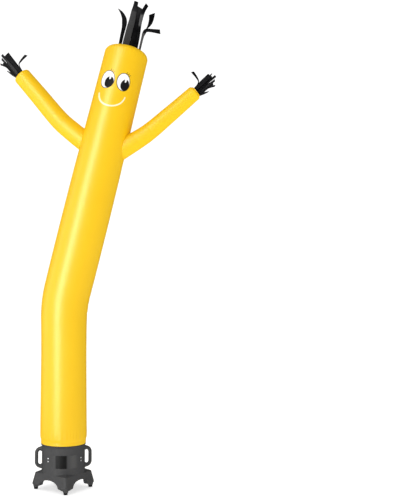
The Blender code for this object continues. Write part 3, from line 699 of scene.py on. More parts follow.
# arms: sleeves that begin on the tube's own surface
armSizes = {
    "planeX": 0.262,
    "turn": math.radians(72.0),
    "columns": 112,
    "cloth": 0.0012,
    "gap": 0.0004,
    "clothRadius": 0.064,
    "steps": 120,
    "rootGathers": (0.0011, 24.0, 1.5, 3.0),
    "cuffGathers": (0.0006, 22.0, 1.1, 4.0),
    "rootSpread": 0.020,
    "cuffSpread": 0.014,
    "shoulder": 0.014,
    "flat": 0.040,
    "rise": 0.004,
    "left": [             # distance in the arms' plane, height, outer radius
        (-0.050, 2.265, 0.0690), (-0.132, 2.334, 0.0690), (-0.207, 2.397, 0.0685),
        (-0.310, 2.492, 0.0665), (-0.460, 2.673, 0.0635), (-0.575, 2.810, 0.0610),
    ],
    "right": [
        (0.050, 2.218, 0.0680), (0.148, 2.275, 0.0675), (0.306, 2.369, 0.0600),
        (0.454, 2.487, 0.0555), (0.626, 2.630, 0.0505),
    ],
}
armsAlong = outFrom(armSizes["turn"])


def armLine(rows, steps):
    # a smooth line through the rows, laid in the upright plane of the arms, with its radii
    line = smoothLine(rows, steps)
    base = blowerAxis + np.array([armSizes["planeX"], 0.0, 0.0])
    centres = base + armsAlong * line[:, :1] + np.array([0.0, 0.0, 1.0]) * line[:, 1:2]
    return centres, line[:, 2]


def outsideTube(points):
    # distance of points from the tube's outer surface, positive outside
    z = points[..., 2]
    wall = np.array(tubeSizes["rows"])
    for _ in range(3):       # height of the section's centre that each point belongs to
        centre, lean = tubeCentre(z)
        z = points[..., 2] + (points[..., 0] - centre[..., 0]) * np.sin(lean) * np.cos(lean)
    centre, lean = tubeCentre(z)
    radius = np.interp(z, wall[:, 0], wall[:, 1])
    return np.linalg.norm(points - centre, axis=-1) - radius


def leavingTube(fine, gap):
    # rows, between the rings of a fine grid, that run in each column from where it leaves the tube
    away = outsideTube(fine)
    last = len(fine) - 1
    cross = last - np.argmax(away[::-1] < gap, axis=0)          # last row of each column inside
    columns = np.arange(fine.shape[1])
    low, high = away[cross, columns], away[np.minimum(cross + 1, last), columns]
    begin = cross + np.clip((gap - low) / (high - low), 0.0, 1.0)
    return begin + np.linspace(0.0, 1.0, armSizes["steps"])[:, None] ** 1.25 * (last - begin)


def makeArm(name, key, node):
    # rings about the arm's line, from the tube out, with gathers at both ends and a few creases
    size = armSizes
    centres, radii = armLine(size[key], 30)
    along = tangents(centres)
    across = unit(np.cross(along[0], [0.0, 0.0, 1.0]))
    third = unit(np.cross(along, across))
    side = unit(np.cross(third, along))
    turn = circle(size["columns"]) + (0.0 if key == "left" else math.pi)
    ring = ringAbout(turn, side[:, None], third[:, None])
    fine = centres[:, None] + radii[:, None, None] * ring
    last = len(centres) - 1
    row = leavingTube(fine, size["gap"])
    floor = np.minimum(row.astype(int), last - 1)
    part = (row - floor)[..., None]
    columns = np.arange(size["columns"])
    wall = fine[floor, columns] * (1.0 - part) + fine[floor + 1, columns] * part
    middle = centres[floor] * (1.0 - part) + centres[floor + 1] * part
    lengths = lengthAlong(centres)
    place = np.interp(row, np.arange(last + 1), lengths)
    fromRoot = place - place[0]
    root = gather(turn, *size["rootGathers"]) * fade(fromRoot, size["rootSpread"])
    cuff = gather(turn, *size["cuffGathers"]) * fade(lengths[-1] - place, size["cuffSpread"])
    relief = root * smoothStep(0.0, 0.004, fromRoot) + cuff
    for spot, angle, lean, width, depth in armCreases[key]:
        a = turnBetween(turn, math.radians(angle))
        relief = relief + trough((place - spot) - lean * (a * 0.065), depth, width) * fade(a, 0.8)
    wall = wall + unit(wall - middle) * relief[..., None]
    past, out = roundedEnd(radii[-1], size["shoulder"], size["flat"], size["rise"], 7)
    end = centres[-1] + past[:, None, None] * along[-1] + out[:, None, None] * ring[-1]
    points = np.concatenate([wall, end])
    down = np.append(place[:, 0], lengths[-1] + past)
    uv = (np.append(turn, turn[0] + 2.0 * math.pi) * size["clothRadius"], down)
    made = gridPiece(name, points, armCloth, uv=uv, outward=lambda p: nearestOn(centres, p))
    closeRows(made, size["columns"], [len(points) - 1], turnOut=False)
    giveThickness(made, size["cloth"])
    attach(made, "root")
    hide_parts(node)
    return made


def nearestOn(line, points):
    # of every fourth point of the line, the one nearest to each point
    gaps = np.linalg.norm(points[:, None] - line[None, ::4], axis=-1)
    return line[::4][np.argmin(gaps, axis=1)]


armCreases = {        # place along the arm, angle in degrees, lean, width, depth
    "left": [(0.30, 200.0, 0.10, 0.010, 0.0016), (0.345, 185.0, -0.15, 0.009, 0.0014),
             (0.40, 205.0, 0.10, 0.010, 0.0012)],
    "right": [(0.22, 20.0, 0.10, 0.009, 0.0010), (0.33, 5.0, -0.12, 0.009, 0.0012)],
}
armLeft = makeArm("armLeft", "left", "arm_left")
armRight = makeArm("armRight", "right", "arm_right")
print("dancer: arms made")

# streamers: flat ribbons in tufts, each with its root in a sewn band
streamerSizes = {
    "ribbon": 0.0007,
    "band": 0.008,
    "gap": 0.0003,
    "rowsAlong": 26,
    "across": 6,
    "curl": 0.05,         # depth of the lengthwise fold, in widths
    "hairBand": (0.160, 0.028, 0.008),
    "fingerBand": (0.034, -0.006),
}
# in millimetres: root across and root depth, then points (along, across, depth and for some the
# width there), width at root and at tip; then quarter turns of twist at root and at tip, and for
# some the slant of the tip's cut in widths, and how pale the cloth is lit: places along and amounts
hairRows = [
    (-60, -3, ((88, -64, -7, 25), (143, -65, -10, 29), (184, -70, -13, 36), (213, -81, -17, 32),
               (239, -102, -20, 22), (252, -121, -23, 12), (260, -136, -26, 3)),
     22, 3, 0, 0, 0, ((0, 0), (300, 0.1))),
    (-23, -9, ((135, -24, -14, 47), (211, -22, -18, 44), (273, -25, -23, 38), (303, -25, -27, 33),
               (346, -26, -32, 29)),
     46, 29, 0, 0, -0.06, ((0, 1), (205, 1), (215, 0.35), (300, 0.1), (360, 0))),
    (29, -2, ((116, 26, -5, 52), (195, 20, -7, 47), (260, 11, -9, 50), (321, 6, -12, 46)),
     56, 46, 0, 0, -0.17, ((0, 0), (180, 0), (280, 0.4))),
    (57, -8, ((121, 49, -12, 19), (197, 40, -16, 20), (254, 37, -20, 24), (299, 39, -24, 27),
              (348, 53, -28, 26)),
     17, 22, 0, 0, -0.15, ((0, 0), (125, 0), (135, 2), (225, 2), (240, 0))),
    (78, 4, ((105, 79, 5, 16), (150, 82, 7, 13), (195, 94, 8, 10), (215, 101, 10, 17),
             (241, 108, 11, 28), (273, 110, 13, 35), (312, 105, 14, 44)),
     18, 44, 0.5, 0, 0.26, ((0, 1.6), (110, 1.6), (130, 0))),
    (80, -8, ((112, 78, -13, 17), (145, 80, -18, 24), (168, 90, -24, 25), (177, 127, -29, 25),
              (184, 187, -34, 33)), 15, 33, 0, 0, 0.12, ((0, 1.6), (100, 1.6), (120, 0))),
    (-40, 3, ((120, -32, 10), (220, -30, 30)), 18, 10, -0.1, -0.2),
    (-36, 10, ((110, -38, 36), (190, -28, 80)), 18, 10, 0.2, 0.6),
    (-8, 10, ((150, -12, 34), (285, -14, 66)), 30, 18, 0.1, 0.2),
    (28, 10, ((130, 26, 46), (250, 18, 124)), 28, 18, -0.1, -0.3),
    (54, 10.5, ((130, 46, 44), (240, 26, 92)), 18, 12, -0.05, -0.6),
]
fingerRows = {
    "left": [
        (22, -4, ((60, 34, -8, 6), (74, 62, -10, 14), (78, 118, -12, 21)),
         6, 21, 0, 0, 0.24, ((0, 0), (100, 0))),
        (10, -14, ((82, 14, -24, 34), (172, 17, -32, 38)), 28, 38, 0, 0, 0.05),
        (-14, -10, ((94, -12, -18), (197, -11, -24)),
         19, 18, 0, 0, 0.1, ((0, 0.8), (130, 0.8), (170, 0.3))),
        (-26, -3, ((94, -28, -10), (178, -31, -18)), 17, 14, 0.1, 0.1),
        (-33, 3, ((94, -36, -2), (152, -43, -6)), 14, 16, 0, 0.1),
        (-34, -10, ((64, -40, -16), (108, -42, -20), (152, -62, -24)), 9, 12, 0, 0),
        (-32, 10, ((48, -45, 10, 15), (97, -58, 8, 4)), 12, 4, 0, 0, 0),
        (16, 3, ((88, 12, 4), (180, 32, 6)), 12, 8, 0.1, 0.2),
        (-4, 0, ((88, -2, 0), (160, 4, 0)), 16, 13, 0.1, 0.3),
        (12, 12, ((77, 10, 30), (140, 14, 60)), 18, 13, -0.1, -0.4),
        (-16, 12, ((82, -20, 28), (160, -18, 50)), 16, 12, 0.1, 0.4),
    ],
    "right": [
        (22, 4, ((50, 34, 8, 6), (64, 60, 10, 12), (70, 117, 12, 19)),
         6, 19, 0, 0, 0.24, ((0, 0), (100, 0))),
        (11, 14, ((70, 13, 24, 34), (138, 14, 32, 34)), 28, 34, 0, 0, -0.1),
        (-14, 10, ((80, -10, 18), (163, -13, 24)), 19, 16, 0, 0),
        (-26, 3, ((80, -24, 10), (141, -31, 18)), 17, 14, 0.1, 0.1),
        (-33, -3, ((78, -33, 2), (118, -40, 6)), 14, 16, 0, 0.1),
        (-34, 10, ((56, -36, 16), (84, -44, 20), (117, -62, 24)), 10, 12, 0, 0),
        (-32, -10, ((36, -43, -10, 14), (66, -56, -8, 4)), 12, 4, 0, 0, 0),
        (16, -3, ((80, 10, -4), (160, 24, -6)), 12, 8, 0.1, 0.2),
        (-4, 0, ((80, -2, 0), (144, 0, 0)), 16, 13, 0.1, 0.3),
        (12, -12, ((66, 8, -30), (122, 12, -60)), 18, 13, -0.1, -0.4),
        (-16, -12, ((70, -18, -28), (138, -16, -50)), 16, 12, 0.1, 0.4),
    ],
}


def ribbonPoints(row, place):
    # a strip of changing width along a smooth line, turned about it and folded a little lengthwise
    size = streamerSizes
    across, depth, path, widthRoot, widthTip, turnRoot, turnTip = row[:7]
    line = [(across, depth, 0.0, widthRoot)]
    for k, (a, c, d, *given) in enumerate(path):
        share = (k + 1) / len(path)
        line.append((c, d, a, given[0] if given else widthRoot + (widthTip - widthRoot) * share))
    line = np.array(line) / 1000.0
    line[0, 2] = size["gap"] + size["band"] / 2.0
    line = smoothLine(line, 3)
    line = resample(smoothLine(line, 6), np.linspace(0.0, (len(line) - 1) * 6.0, size["rowsAlong"]))
    width, line = line[:, 3], line[:, :3]
    along = tangents(line)
    t = np.linspace(0.0, 1.0, len(line))
    flat = unit(np.array([0.0, 1.0, 0.0]) - along * along[:, 1:2])
    wide = np.cross(flat, along)
    turn = (turnRoot + (turnTip - turnRoot) * t) * math.pi / 2.0
    wide = wide * np.cos(turn)[:, None] + flat * np.sin(turn)[:, None]
    normal = np.cross(along, wide)
    c = np.linspace(-1.0, 1.0, size["across"])
    seed = across * 0.4
    fold = size["curl"] * (1.0 - np.abs(c)) * (width * smoothStep(0.05, 0.3, t))[:, None]
    wave = 0.0012 * c ** 2 * (np.sin(9.0 * t + seed) * smoothStep(0.1, 0.4, t))[:, None]
    points = line[:, None] + wide[:, None] * (c[None, :, None] * width[:, None, None] / 2.0)
    fold = fold * (1.0 if math.sin(seed) > 0 else -1.0)
    points = points + normal[:, None] * (fold + wave)[..., None]
    slant = row[7] if len(row) > 7 else 0.35 * math.sin(seed * 1.7)
    slant = slant * width[-1] * c                                # each tip is cut a little aslant
    points[-1] = points[-1] + along[-1] * slant[:, None]
    length = t * lengthAlong(line)[-1]
    pale = row[8] if len(row) > 8 else ((0, 0.7 * max(0.0, math.sin(seed * 2.3)) ** 2), (200, 0.0))
    return place(points), length, width, np.interp(length * 1000.0, *zip(*pale))


def makeTuft(name, rows, origin, axes, bandPoints, node):
    # ribbons and their band, worked out flat and then laid on the given place and axes
    def place(points):
        return origin + points @ axes

    strips = []
    for index, row in enumerate(rows):
        points, length, width, pale = ribbonPoints(row, place)
        u = np.linspace(-0.5, 0.5, points.shape[1]) * width.mean() + 0.1 * index
        strip = gridPiece("strip", points, streamerCloth, uv=(u, length), wrapAcross=False)
        tone = strip.data.attributes.new("pale", "FLOAT", "POINT")
        tone.data.foreach_set("value", np.repeat(pale, points.shape[1]).astype(np.float32))
        strips.append(strip)
    strands = joinPieces(name, strips)
    giveThickness(strands, streamerSizes["ribbon"], offset=0.0)
    band = gridPiece(name + "Band", place(bandPoints), streamerCloth, uv=(
        np.linspace(0.0, 0.3, bandPoints.shape[1] + 1), np.linspace(0.0, 0.02, len(bandPoints))))
    closeRows(band, bandPoints.shape[1], [0, len(bandPoints) - 1])
    for piece in (strands, band):
        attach(piece, "root")
        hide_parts(node)


def bandRing(halfLength, halfWidth, offset, power):
    # a rounded slab: a power mean of cosine and sine, a little smaller at its top and bottom edges
    low = streamerSizes["gap"]
    high = low + streamerSizes["band"]
    a = circle(64)
    reach = (np.abs(np.cos(a)) ** power + np.abs(np.sin(a)) ** power) ** (-1.0 / power)
    levels = np.array([(low, 0.0008), (low + 0.0008, 0.0), (high - 0.0012, 0.0),
                       (high - 0.0004, 0.0005), (high, 0.0013)])
    z, less = levels[:, :1], levels[:, 1:]
    x = (halfLength - less) * reach * np.cos(a) + offset
    return np.stack([x, (halfWidth - less) * reach * np.sin(a), z + 0.0 * x], -1)


def crownPlace():
    # the middle of the tube's flat end, and the axes across, back and out of it
    centre, lean = tubeCentre(np.array([tubeSizes["rows"][-1][0]]))
    across, along = tubeAxes(lean[0])
    top = centre[0] + along * (tubeSizes["shoulder"] + tubeSizes["rise"])
    return top, np.array([across, [0.0, 1.0, 0.0], along])


def cuffPlace(key):
    # the middle of an arm's flat end, and the axes up across, back and out of it
    centres, _ = armLine(armSizes[key], 2)
    along = tangents(centres)[-1]
    across = armsAlong * (1.0 if key == "left" else -1.0)
    across = unit(across - along * np.dot(across, along))
    top = centres[-1] + along * (armSizes["shoulder"] + armSizes["rise"])
    return top, np.array([across, np.cross(along, across), along])


length, width, offset = streamerSizes["hairBand"]
band = bandRing(length / 2, width / 2, offset, 5.0)
makeTuft("hairStrands", hairRows, *crownPlace(), band, "hair")
radius, offset = streamerSizes["fingerBand"]
for key in ("left", "right"):
    name = "fingers" + key.capitalize()
    band = bandRing(radius, radius, offset, 2.0)
    makeTuft(name, fingerRows[key], *cuffPlace(key), band, "fingers_" + key)
print("dancer: streamers made")

# the blower's housing: one closed surface about the axis
housingSizes = {
    "inner": 0.1365,
    "wall": 0.1425,
    "collar": 0.1440,
    "beadAt": 0.1437,
    "bead": 0.0045,
    "beads": (0.3300, 0.2885),
    "top": 0.3400,
    "rimGap": (0.3245, 0.2940),       # the collar between its beads
    "cylinder": (0.2795, 0.1500),
    "flareHeights": (0.146, 0.1335),
    "collarFoot": (0.2832, 0.2818),
    "lowerHeights": (0.0365, 0.0350, 0.0330, 0.0290, 0.0250, 0.0217),
    "edgeRound": 0.0012,
    "blendLow": (0.04, 0.002),        # height and blend near the legs
    "skirt": [            # height, reach of the square's corners, radius of the rounded corner
        (0.0205, 0.1965, 0.018), (0.0330, 0.2143, 0.024), (0.0360, 0.2148, 0.024),
        (0.0980, 0.1963, 0.022), (0.1060, 0.1933, 0.022), (0.1110, 0.1802, 0.023),
        (0.1330, 0.1050, 0.030),
    ],
    "archHalf": 0.083,
    "archCentre": 0.025,
    "archRise": 0.048,
    "flare": [(0.0815, 0.0341), (0.0830, 0.0316), (0.1030, 0.0205)],
    "notches": 6,
    "notchFirst": math.radians(-14.0),
    "notchHalf": 0.0045,
    "notchFloor": 0.3303,
    "blend": 0.007,
}


def archHeight(across):
    # half an oval, then a slope out to the level bottom of a leg
    size = housingSizes
    across = np.abs(across)
    share = np.clip(1.0 - (across / size["archHalf"]) ** 2, 0.0, 1.0)
    oval = size["archCentre"] + size["archRise"] * np.sqrt(share)
    flare = np.array(size["flare"])
    slope = np.interp(across, flare[:, 0], flare[:, 1])
    return np.where(across < flare[0, 0], oval, slope)


def underside(x, y):
    # two arched tunnels cross under the skirt, between the legs on X and Y
    u, v = (x + y) / math.sqrt(2.0), (x - y) / math.sqrt(2.0)
    return np.maximum(archHeight(u), archHeight(v))


def skirtReach(reach, corner, angle):
    # a rounded square: side distance over a power mean of the cosine and sine to the sides
    fromLeg = (angle + math.pi / 4.0) % (math.pi / 2.0) - math.pi / 4.0
    toSide = math.pi / 4.0 - fromLeg
    power = math.log(2.0) / -np.log(1.0 - 0.4142 * corner / reach)
    mean = np.abs(np.cos(toSide)) ** power + np.abs(np.sin(toSide)) ** power
    return reach / math.sqrt(2.0) * mean ** (-1.0 / power)


def blendOut(a, b, soft):
    # the larger of two radii, rounded where they meet
    return 0.5 * (a + b + np.sqrt((a - b) ** 2 + soft ** 2))


def housingAngles():
    # even steps, closer ones beside each leg and at each notch's sides, and the notches' middles
    size = housingSizes
    base = np.radians(np.arange(0.0, 360.0, 1.5))
    legs = np.radians(np.concatenate([np.arange(7.0, 20.0, 0.4), -np.arange(7.0, 20.0, 0.4)]))
    legs = (legs + np.arange(4)[:, None] * math.pi / 2.0).ravel()
    near = np.array([-1.6, -1.06, -1.0, -0.4, 0.4, 1.0, 1.06, 1.6]) * size["notchHalf"] / size["wall"]
    middle = size["notchFirst"] - math.pi / 2.0 + circle(size["notches"])
    angles = np.concatenate([base, legs, (middle[:, None] + near).ravel()]) % (2.0 * math.pi)
    angles = np.sort(angles)
    keep = np.append(True, np.diff(angles) > math.radians(0.09))
    return angles[keep], middle


def housingProfile():
    # (radius, height) from the rim down to the foot of the cylinder, over a bead, the strap's
    # collar and a second bead
    size = housingSizes
    inner, collar, wall, top = size["inner"], size["collar"], size["wall"], size["top"]
    profile = [(inner, top - 0.0008), (inner + 0.0008, top), (collar - 0.0016, top),
               (collar - 0.0004, top - 0.0005), (collar, top - 0.0016)]
    bead = size["bead"]
    arc = np.radians(np.linspace(84.0, -84.0, 11))
    beads = [[(size["beadAt"] + bead * math.cos(a), z + bead * math.sin(a)) for a in arc]
             for z in size["beads"]]
    profile += beads[0] + [(collar, z) for z in np.linspace(*size["rimGap"], 5)] + beads[1]
    profile += zip((collar - 0.0008, wall + 0.0002), size["collarFoot"])
    return profile + [(wall, z) for z in np.linspace(*size["cylinder"], 15)]


def makeHousing():
    # rows of (radius, height) over the angles: down the outside to the arched edge, under it, and
    # up the inner wall
    size = housingSizes
    inner, wall, top, turnIn = size["inner"], size["wall"], size["top"], size["edgeRound"]
    angle, notchAt = housingAngles()
    one = np.ones_like(angle)
    rows = [(r * one, z * one) for r, z in housingProfile()]
    table = np.array(size["skirt"])
    flare = [(z, *table[-1, 1:]) for z in np.linspace(*size["flareHeights"], 5)]
    for z, reach, corner in [*flare, *smoothLine(table[:2:-1], 9)]:
        rows.append((blendOut(wall, skirtReach(reach, corner, angle), size["blend"]), z * one))
    # down to the edge that the arches cut
    shoulder = table[3, 0]
    edge = np.full_like(angle, 0.03)
    for _ in range(12):
        radius = lowerRadius(edge, angle)
        edge = underside(radius * np.cos(angle), radius * np.sin(angle))
    edgeRadius = lowerRadius(edge, angle) - turnIn
    heights = size["lowerHeights"]
    for z in [*np.linspace(shoulder, heights[0], 14)[1:], *heights[1:]]:
        share = (z - heights[-1]) / (shoulder - heights[-1])
        height = edge + turnIn + share * (shoulder - edge - turnIn)
        rows.append((lowerRadius(height, angle), height))
    for step in np.linspace(0.0, 1.0, 14):
        r = edgeRadius + step * (inner - edgeRadius)
        rows.append((r, underside(r * np.cos(angle), r * np.sin(angle))))
    foot = rows[-1][1]
    for share in np.linspace(0.0, 1.0, 14)[1:-1]:
        rows.append((inner * one, foot + share * (top - 0.002 - foot)))
    radius, height = np.array(rows).transpose(1, 0, 2)
    # square notches in the rim
    gap = np.abs(turnBetween(angle[:, None], notchAt)).min(axis=1)
    cap = top - (top - size["notchFloor"]) * (gap <= size["notchHalf"] / wall * 1.001)
    height = np.minimum(height, cap)
    points = np.stack([radius * np.cos(angle), radius * np.sin(angle), height], -1) + blowerAxis
    return gridPiece("housingBody", points, housingPlastic, wrapAlong=True, outward=housingCore)


def lowerRadius(z, angle):
    # the skirt's rounded square at these heights, blended with the round wall
    table = np.array(housingSizes["skirt"])
    reach = np.interp(z, table[:, 0], table[:, 1])
    corner = np.interp(z, table[:, 0], table[:, 2])
    low, lowBlend = housingSizes["blendLow"]
    soft = np.interp(z, [low, table[3, 0]], [lowBlend, housingSizes["blend"]])
    return blendOut(housingSizes["wall"], skirtReach(reach, corner, angle), soft)


def housingCore(p):
    # the middle of the wall nearest to a point
    out = p - blowerAxis
    out[:, 2] = 0.0
    core = blowerAxis + unit(out) * (housingSizes["inner"] + housingSizes["wall"]) / 2.0
    core[:, 2] = np.clip(p[:, 2], 0.06, 0.33)
    return core


handleSizes = {
    "tube": 0.0115,
    "reach": 0.189,
    "low": 0.134,
    "high": 0.270,
    "bend": 0.027,
    "flare": 0.0075,
    "flareLength": 0.007,
    "start": 0.1400,
    "root": 0.1425,
    "sides": 28,
}


def makeHandle(side):
    # a round bar on a D-shaped path, wider where it runs into the wall
    size = handleSizes
    out = size["reach"] - size["tube"]
    low, high = size["low"] + size["tube"], size["high"] - size["tube"]
    turn = np.radians(np.linspace(0.0, 90.0, 13))
    upper = np.stack([out - size["bend"] * (1 - np.sin(turn)),
                      high - size["bend"] * (1 - np.cos(turn))], -1)
    lower = np.stack([upper[::-1, 0], low + high - upper[::-1, 1]], -1)
    straight = np.linspace(size["start"], upper[0, 0], 12)[:-1]
    start = np.stack([straight, np.full_like(straight, high)], -1)
    end = np.stack([straight[::-1], np.full_like(straight, low)], -1)
    middle = np.linspace(upper[-1], lower[0], 10)[1:-1]
    path = np.vstack([start, upper, middle, lower, end])
    line = np.stack([side * path[:, 0], np.zeros(len(path)), path[:, 1]], -1)
    along = tangents(line)
    up = np.array([0.0, 1.0, 0.0])
    flare = np.exp(-((path[:, 0] - size["root"]) / size["flareLength"]))
    radius = size["tube"] + size["flare"] * np.minimum(flare, 1.0)[:, None, None]
    third = unit(np.cross(along, up))[:, None]
    return sweptBar("handle", line + blowerAxis, radius, size["sides"], up, third, housingPlastic)


def sweptBar(name, line, radius, columns, side, third, material, closed=False):
    # a circle of the given radius carried along a line, on two axes square to it
    points = line[:, None] + radius * ringAbout(circle(columns), side, third)
    made = gridPiece(name, points, material, wrapAlong=closed)
    closeRows(made, columns, [] if closed else [0, len(line) - 1])
    return made


def turnedPiece(name, profile, place, axes, material, columns=40, uv=None):
    # a profile (radius, height) swept about the third of the given axes and closed at both ends,
    # or swept as a closed loop where it has a uv
    profile = np.array(profile, dtype=float)[:, :, None]
    ring = ringAbout(circle(columns), *axes[:2])
    points = place + profile[:, :1] * ring + profile[:, 1:] * axes[2]
    made = gridPiece(name, points, material, uv=uv, wrapAlong=uv is not None)
    closeRows(made, columns, [0, len(profile) - 1] if uv is None else [])
    return made


uprightAxes = np.eye(3)
legSizes = {
    "at": 0.180,
    "boss": [(0.0150, 0.0134), (0.0158, 0.0130), (0.0162, 0.0140), (0.0172, 0.0185),
             (0.0186, 0.0250), (0.0200, 0.0310), (0.0180, 0.0340)],
    "foot": [(0.0118, 0.0000), (0.0128, 0.0004), (0.0135, 0.0014), (0.0135, 0.0052),
             (0.0131, 0.0056), (0.0131, 0.0064), (0.0135, 0.0068), (0.0135, 0.0112),
             (0.0130, 0.0123), (0.0120, 0.0127)],
}
legPlaces = {
    name: blowerAxis + legSizes["at"] * outFrom(quarter * math.pi / 2.0)
    for name, quarter in (("right", 1), ("back", 2), ("left", 3), ("front", 0))
}

housingBody = makeHousing()
handles = [makeHandle(-1.0), makeHandle(1.0)]
bosses = [
    turnedPiece("boss", legSizes["boss"], place, uprightAxes, housingPlastic)
    for place in legPlaces.values()
]
housing = joinPieces("housingMoulding", [housingBody, *handles, *bosses])
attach(housing, "root")
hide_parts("housing")
for name, place in legPlaces.items():
    foot = turnedPiece("foot" + name.capitalize(), legSizes["foot"], place, uprightAxes, footRubber)
    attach(foot, "root")
    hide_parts("foot_" + name)
print("dancer: blower made")

# strap, plate, rivets, screws
strapSizes = {
    "low": 0.2938, "high": 0.3247, "inner": 0.1443, "outer": 0.1470,
    "markAzimuth": math.radians(20.0),
    "columns": 192,
}


def makeStrap():
    # a thin closed profile with softened edges, turned about the axis from a seam behind
    size = strapSizes
    low, high, inner, outer = (size[key] for key in ("low", "high", "inner", "outer"))
    edge = [(outer - 0.0012, 0.0), (outer - 0.0004, 0.0003), (outer, 0.0012)]
    profile = [(inner, high)] + [(r, high - z) for r, z in edge]
    profile += [(outer, z) for z in np.linspace(high - 0.003, low + 0.003, 8)]
    profile += [(r, low + z) for r, z in edge[::-1]] + [(inner, low)]
    sine, cosine = math.sin(size["markAzimuth"]), math.cos(size["markAzimuth"])
    axes = np.array([[-sine, cosine, 0.0], [-cosine, -sine, 0.0], [0.0, 0.0, 1.0]])
    u = np.linspace(-math.pi, math.pi, size["columns"] + 1) * outer
    v = np.array(profile)[:, 1] - (low + high) / 2.0
    return turnedPiece(
        "collarStrap", profile, blowerAxis, axes, strapWebbing, size["columns"], uv=(u, v))


collarStrap = makeStrap()
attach(collarStrap, "root")
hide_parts("collar_strap")

plateSizes = {
    "half": math.radians(37.5), "low": 0.153, "high": 0.235, "inner": 0.1428, "outer": 0.1440,
    "corner": 0.006, "rows": 15, "columns": 65, "edge": 0.0004,
}


def makePlate():
    # a curved sheet with rounded corners: a rounded outline laid on the cylinder
    size = plateSizes
    width, height = size["half"] * size["outer"], (size["high"] - size["low"]) / 2.0
    u, v = np.linspace(-1.0, 1.0, size["columns"]), np.linspace(-1.0, 1.0, size["rows"])
    u, v = (np.sign(share) * (1.0 - (1.0 - np.abs(share)) ** 1.25) for share in (u, v))
    u, v = u * width, v * height
    across, up = np.meshgrid(u, v)
    over = np.maximum(np.abs(up) - (height - size["corner"]), 0.0)
    pull = size["corner"] - np.sqrt(np.maximum(size["corner"] ** 2 - over ** 2, 0.0))
    angle = across * (1.0 - pull / width) / size["outer"]
    points = size["inner"] * outFrom(angle) + blowerAxis
    points[..., 2] = up + (size["low"] + size["high"]) / 2.0
    made = gridPiece("frontPlate", points, platePlastic, uv=(u, v), wrapAcross=False,
                     outward=lambda p: blowerAxis + p * [0.0, 0.0, 1.0])
    giveThickness(made, size["outer"] - size["inner"], offset=1.0)
    edge = made.modifiers.new("edge", "BEVEL")
    edge.width = size["edge"]
    edge.segments = 2
    edge.limit_method = "ANGLE"
    return made


frontPlate = makePlate()
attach(frontPlate, "root")
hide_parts("front_plate")

pinSizes = {
    "rivet": [(0.0030, 0.0), (0.0045, 0.0), (0.0045, 0.0006), (0.0042, 0.0012),
              (0.0035, 0.0018), (0.0022, 0.0022), (0.0006, 0.0024)],
    "screw": [(0.0036, 0.0), (0.0036, 0.0090), (0.0034, 0.0098), (0.0028, 0.0106),
              (0.0018, 0.0110), (0.0006, 0.0112)],
    "columns": 20,
    "rivetAzimuth": math.radians(48.75),
    "rivetFrom": 0.1427,
    "screwUp": 0.0039,        # the screws' middles above the notches' floors
    "rivetHeights": {"low": 0.1925, "high": 0.2115},
}


def facingOut(azimuth, distance, z):
    # a place on a cylinder about the axis, and the axes along its surface and out of it
    out = outFrom(azimuth)
    side = np.array([-out[1], out[0], 0.0])
    return blowerAxis + out * distance + [0.0, 0.0, z], np.array([side, np.cross(out, side), out])


def makePin(name, profile, azimuth, distance, z):
    place, axes = facingOut(azimuth, distance, z)
    return turnedPiece(name, pinSizes[profile], place, axes, brightSteel, pinSizes["columns"])


for label, sign in (("left", -1.0), ("right", 1.0)):
    for level, z in pinSizes["rivetHeights"].items():
        azimuth = sign * pinSizes["rivetAzimuth"]
        name = "rivet_%s_%s_head" % (label, level)
        rivet = makePin(name, "rivet", azimuth, pinSizes["rivetFrom"], z)
        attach(rivet, "root")
        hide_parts("rivet_%s_%s" % (label, level))
for k, turn in enumerate(circle(housingSizes["notches"])):
    z = housingSizes["notchFloor"] + pinSizes["screwUp"]
    name = "rim_screw_%d_head" % (k + 1)
    azimuth = housingSizes["notchFirst"] + turn
    screw = makePin(name, "screw", azimuth, housingSizes["inner"], z)
    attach(screw, "root")
    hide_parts("rim_screw_%d" % (k + 1))
print("dancer: fittings made")

# grille: wire rings welded to a pressed hub and three cross wires
grilleSizes = {
    "z": 0.3335, "wire": 0.0016, "spoke": 0.00144, "hub": 0.019, "depth": 0.0024, "outer": 0.1340,
    "rings": 5, "spokes": 3,
}


def makeGrille():
    # a turned hub, rings at even steps of radius, and straight wires from rim to rim
    size = grilleSizes
    centre = blowerAxis + np.array([0.0, 0.0, size["z"]])
    hub, half, rim = size["hub"], size["depth"] / 2.0, size["outer"]
    profile = [(0.0006, -half), (hub - 0.0008, -half), (hub, -half + 0.0006), (hub, half - 0.0006),
               (hub - 0.0010, half), (hub - 0.0045, half + 0.0004), (hub - 0.0075, half - 0.0002),
               (0.0006, half + 0.0008)]
    pieces = [turnedPiece("hub", profile, centre, uprightAxes, brightSteel, 48)]
    up = uprightAxes[2]
    turn = circle(120)
    ring = np.stack([np.cos(turn), np.sin(turn), 0.0 * turn], -1)
    for radius in np.linspace(hub, rim, size["rings"] + 1)[1:]:
        pieces.append(sweptBar(
            "wire", centre + radius * ring, size["wire"], 8, ring[:, None], up, brightSteel, True))
    for k in range(size["spokes"]):
        out = outFrom(housingSizes["notchFirst"] + k * math.pi / size["spokes"])
        line = centre + np.linspace(-rim, rim, 15)[:, None] * out
        side = np.cross(out, up)
        pieces.append(sweptBar("wire", line, size["spoke"], 8, side, up, brightSteel))
    return joinPieces("wireGrille", pieces)


wireGrille = makeGrille()
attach(wireGrille, "root")
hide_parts("grille")

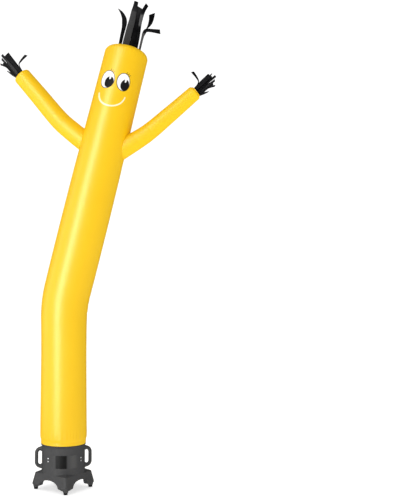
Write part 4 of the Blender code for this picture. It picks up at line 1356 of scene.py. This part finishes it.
# floor and light
lightSettings = {          # place, width and height, power, then which of cloth glow and gloss it gives
    "key": ((-3.15, -3.05, 1.9), (1.2, 3.0), 24.0, True, False),
    "fill": ((-0.4, -5.0, 1.6), (2.4, 3.0), 38.5, True, False),
    "top": ((-2.2, -2.2, 6.4), (3.0, 3.0), 44.0, True, True),
    "strip": ((-2.85, -3.35, 2.5), (1.9, 6.4), 410.0, False, True),
    "panel": ((-4.6, 0.2, 2.2), (5.0, 5.0), 115.0, False, True),
}
white = (1.0, 1.0, 1.0, 1.0)
stageSettings = {
    "half": 60.0,
    "floor": {"Base_Color": (0.82, 0.82, 0.82, 1.0), "Roughness": 0.9, "Specular_IOR_Level": 0.1,
              "Emission_Color": white, "Emission_Strength": 0.59},
    "aimX": 0.1,
    "aimTop": 2.6,
    "backdrop": (-0.05, 0.42, 0.44, 1.10),        # from and to, then strength before and past them
}


def makeFloor():
    mesh = bpy.data.meshes.new("floor")
    s = stageSettings["half"]
    mesh.from_pydata([(-s, -s, 0.0), (s, -s, 0.0), (s, s, 0.0), (-s, s, 0.0)], [], [(0, 1, 2, 3)])
    mesh.materials.append(newMaterial("paleFloor", **stageSettings["floor"])[0])
    floor = placed("floor", mesh)
    floor.visible_glossy = False


def makeLamps():
    # each faces a point above the blower, at its own height up to a limit
    for name, (place, extent, power, inDiffuse, inGloss) in lightSettings.items():
        data = bpy.data.lights.new(name, "AREA")
        data.shape = "RECTANGLE"
        data.size, data.size_y = extent
        data.energy = power
        lamp = placed(name, data)
        lamp.location = place
        lamp.visible_diffuse = inDiffuse
        lamp.visible_glossy = inGloss
        height = min(place[2], stageSettings["aimTop"])
        aim = Vector((stageSettings["aimX"], 0.0, height)) - Vector(place)
        lamp.rotation_euler = aim.to_track_quat("-Z", "Y").to_euler()


def makeBackdrop():
    # a white backdrop behind and to the left, a dimmer room elsewhere: it follows y - 0.3 x
    world = bpy.data.worlds.new("studio")
    world.use_nodes = True
    put = Bench(world.node_tree)
    x, y = put.parts(put.node("TexCoord", output="Generated"))[:2]
    strength = put.ramp(y - x * 0.3, *stageSettings["backdrop"])
    put.join(world.node_tree.nodes["Background"].inputs, {0: white, 1: strength})
    world.cycles_visibility.glossy = False
    bpy.context.scene.world = world


makeFloor()
makeLamps()
makeBackdrop()
bpy.context.scene.view_settings.view_transform = "Standard"
print("dancer: stage made")
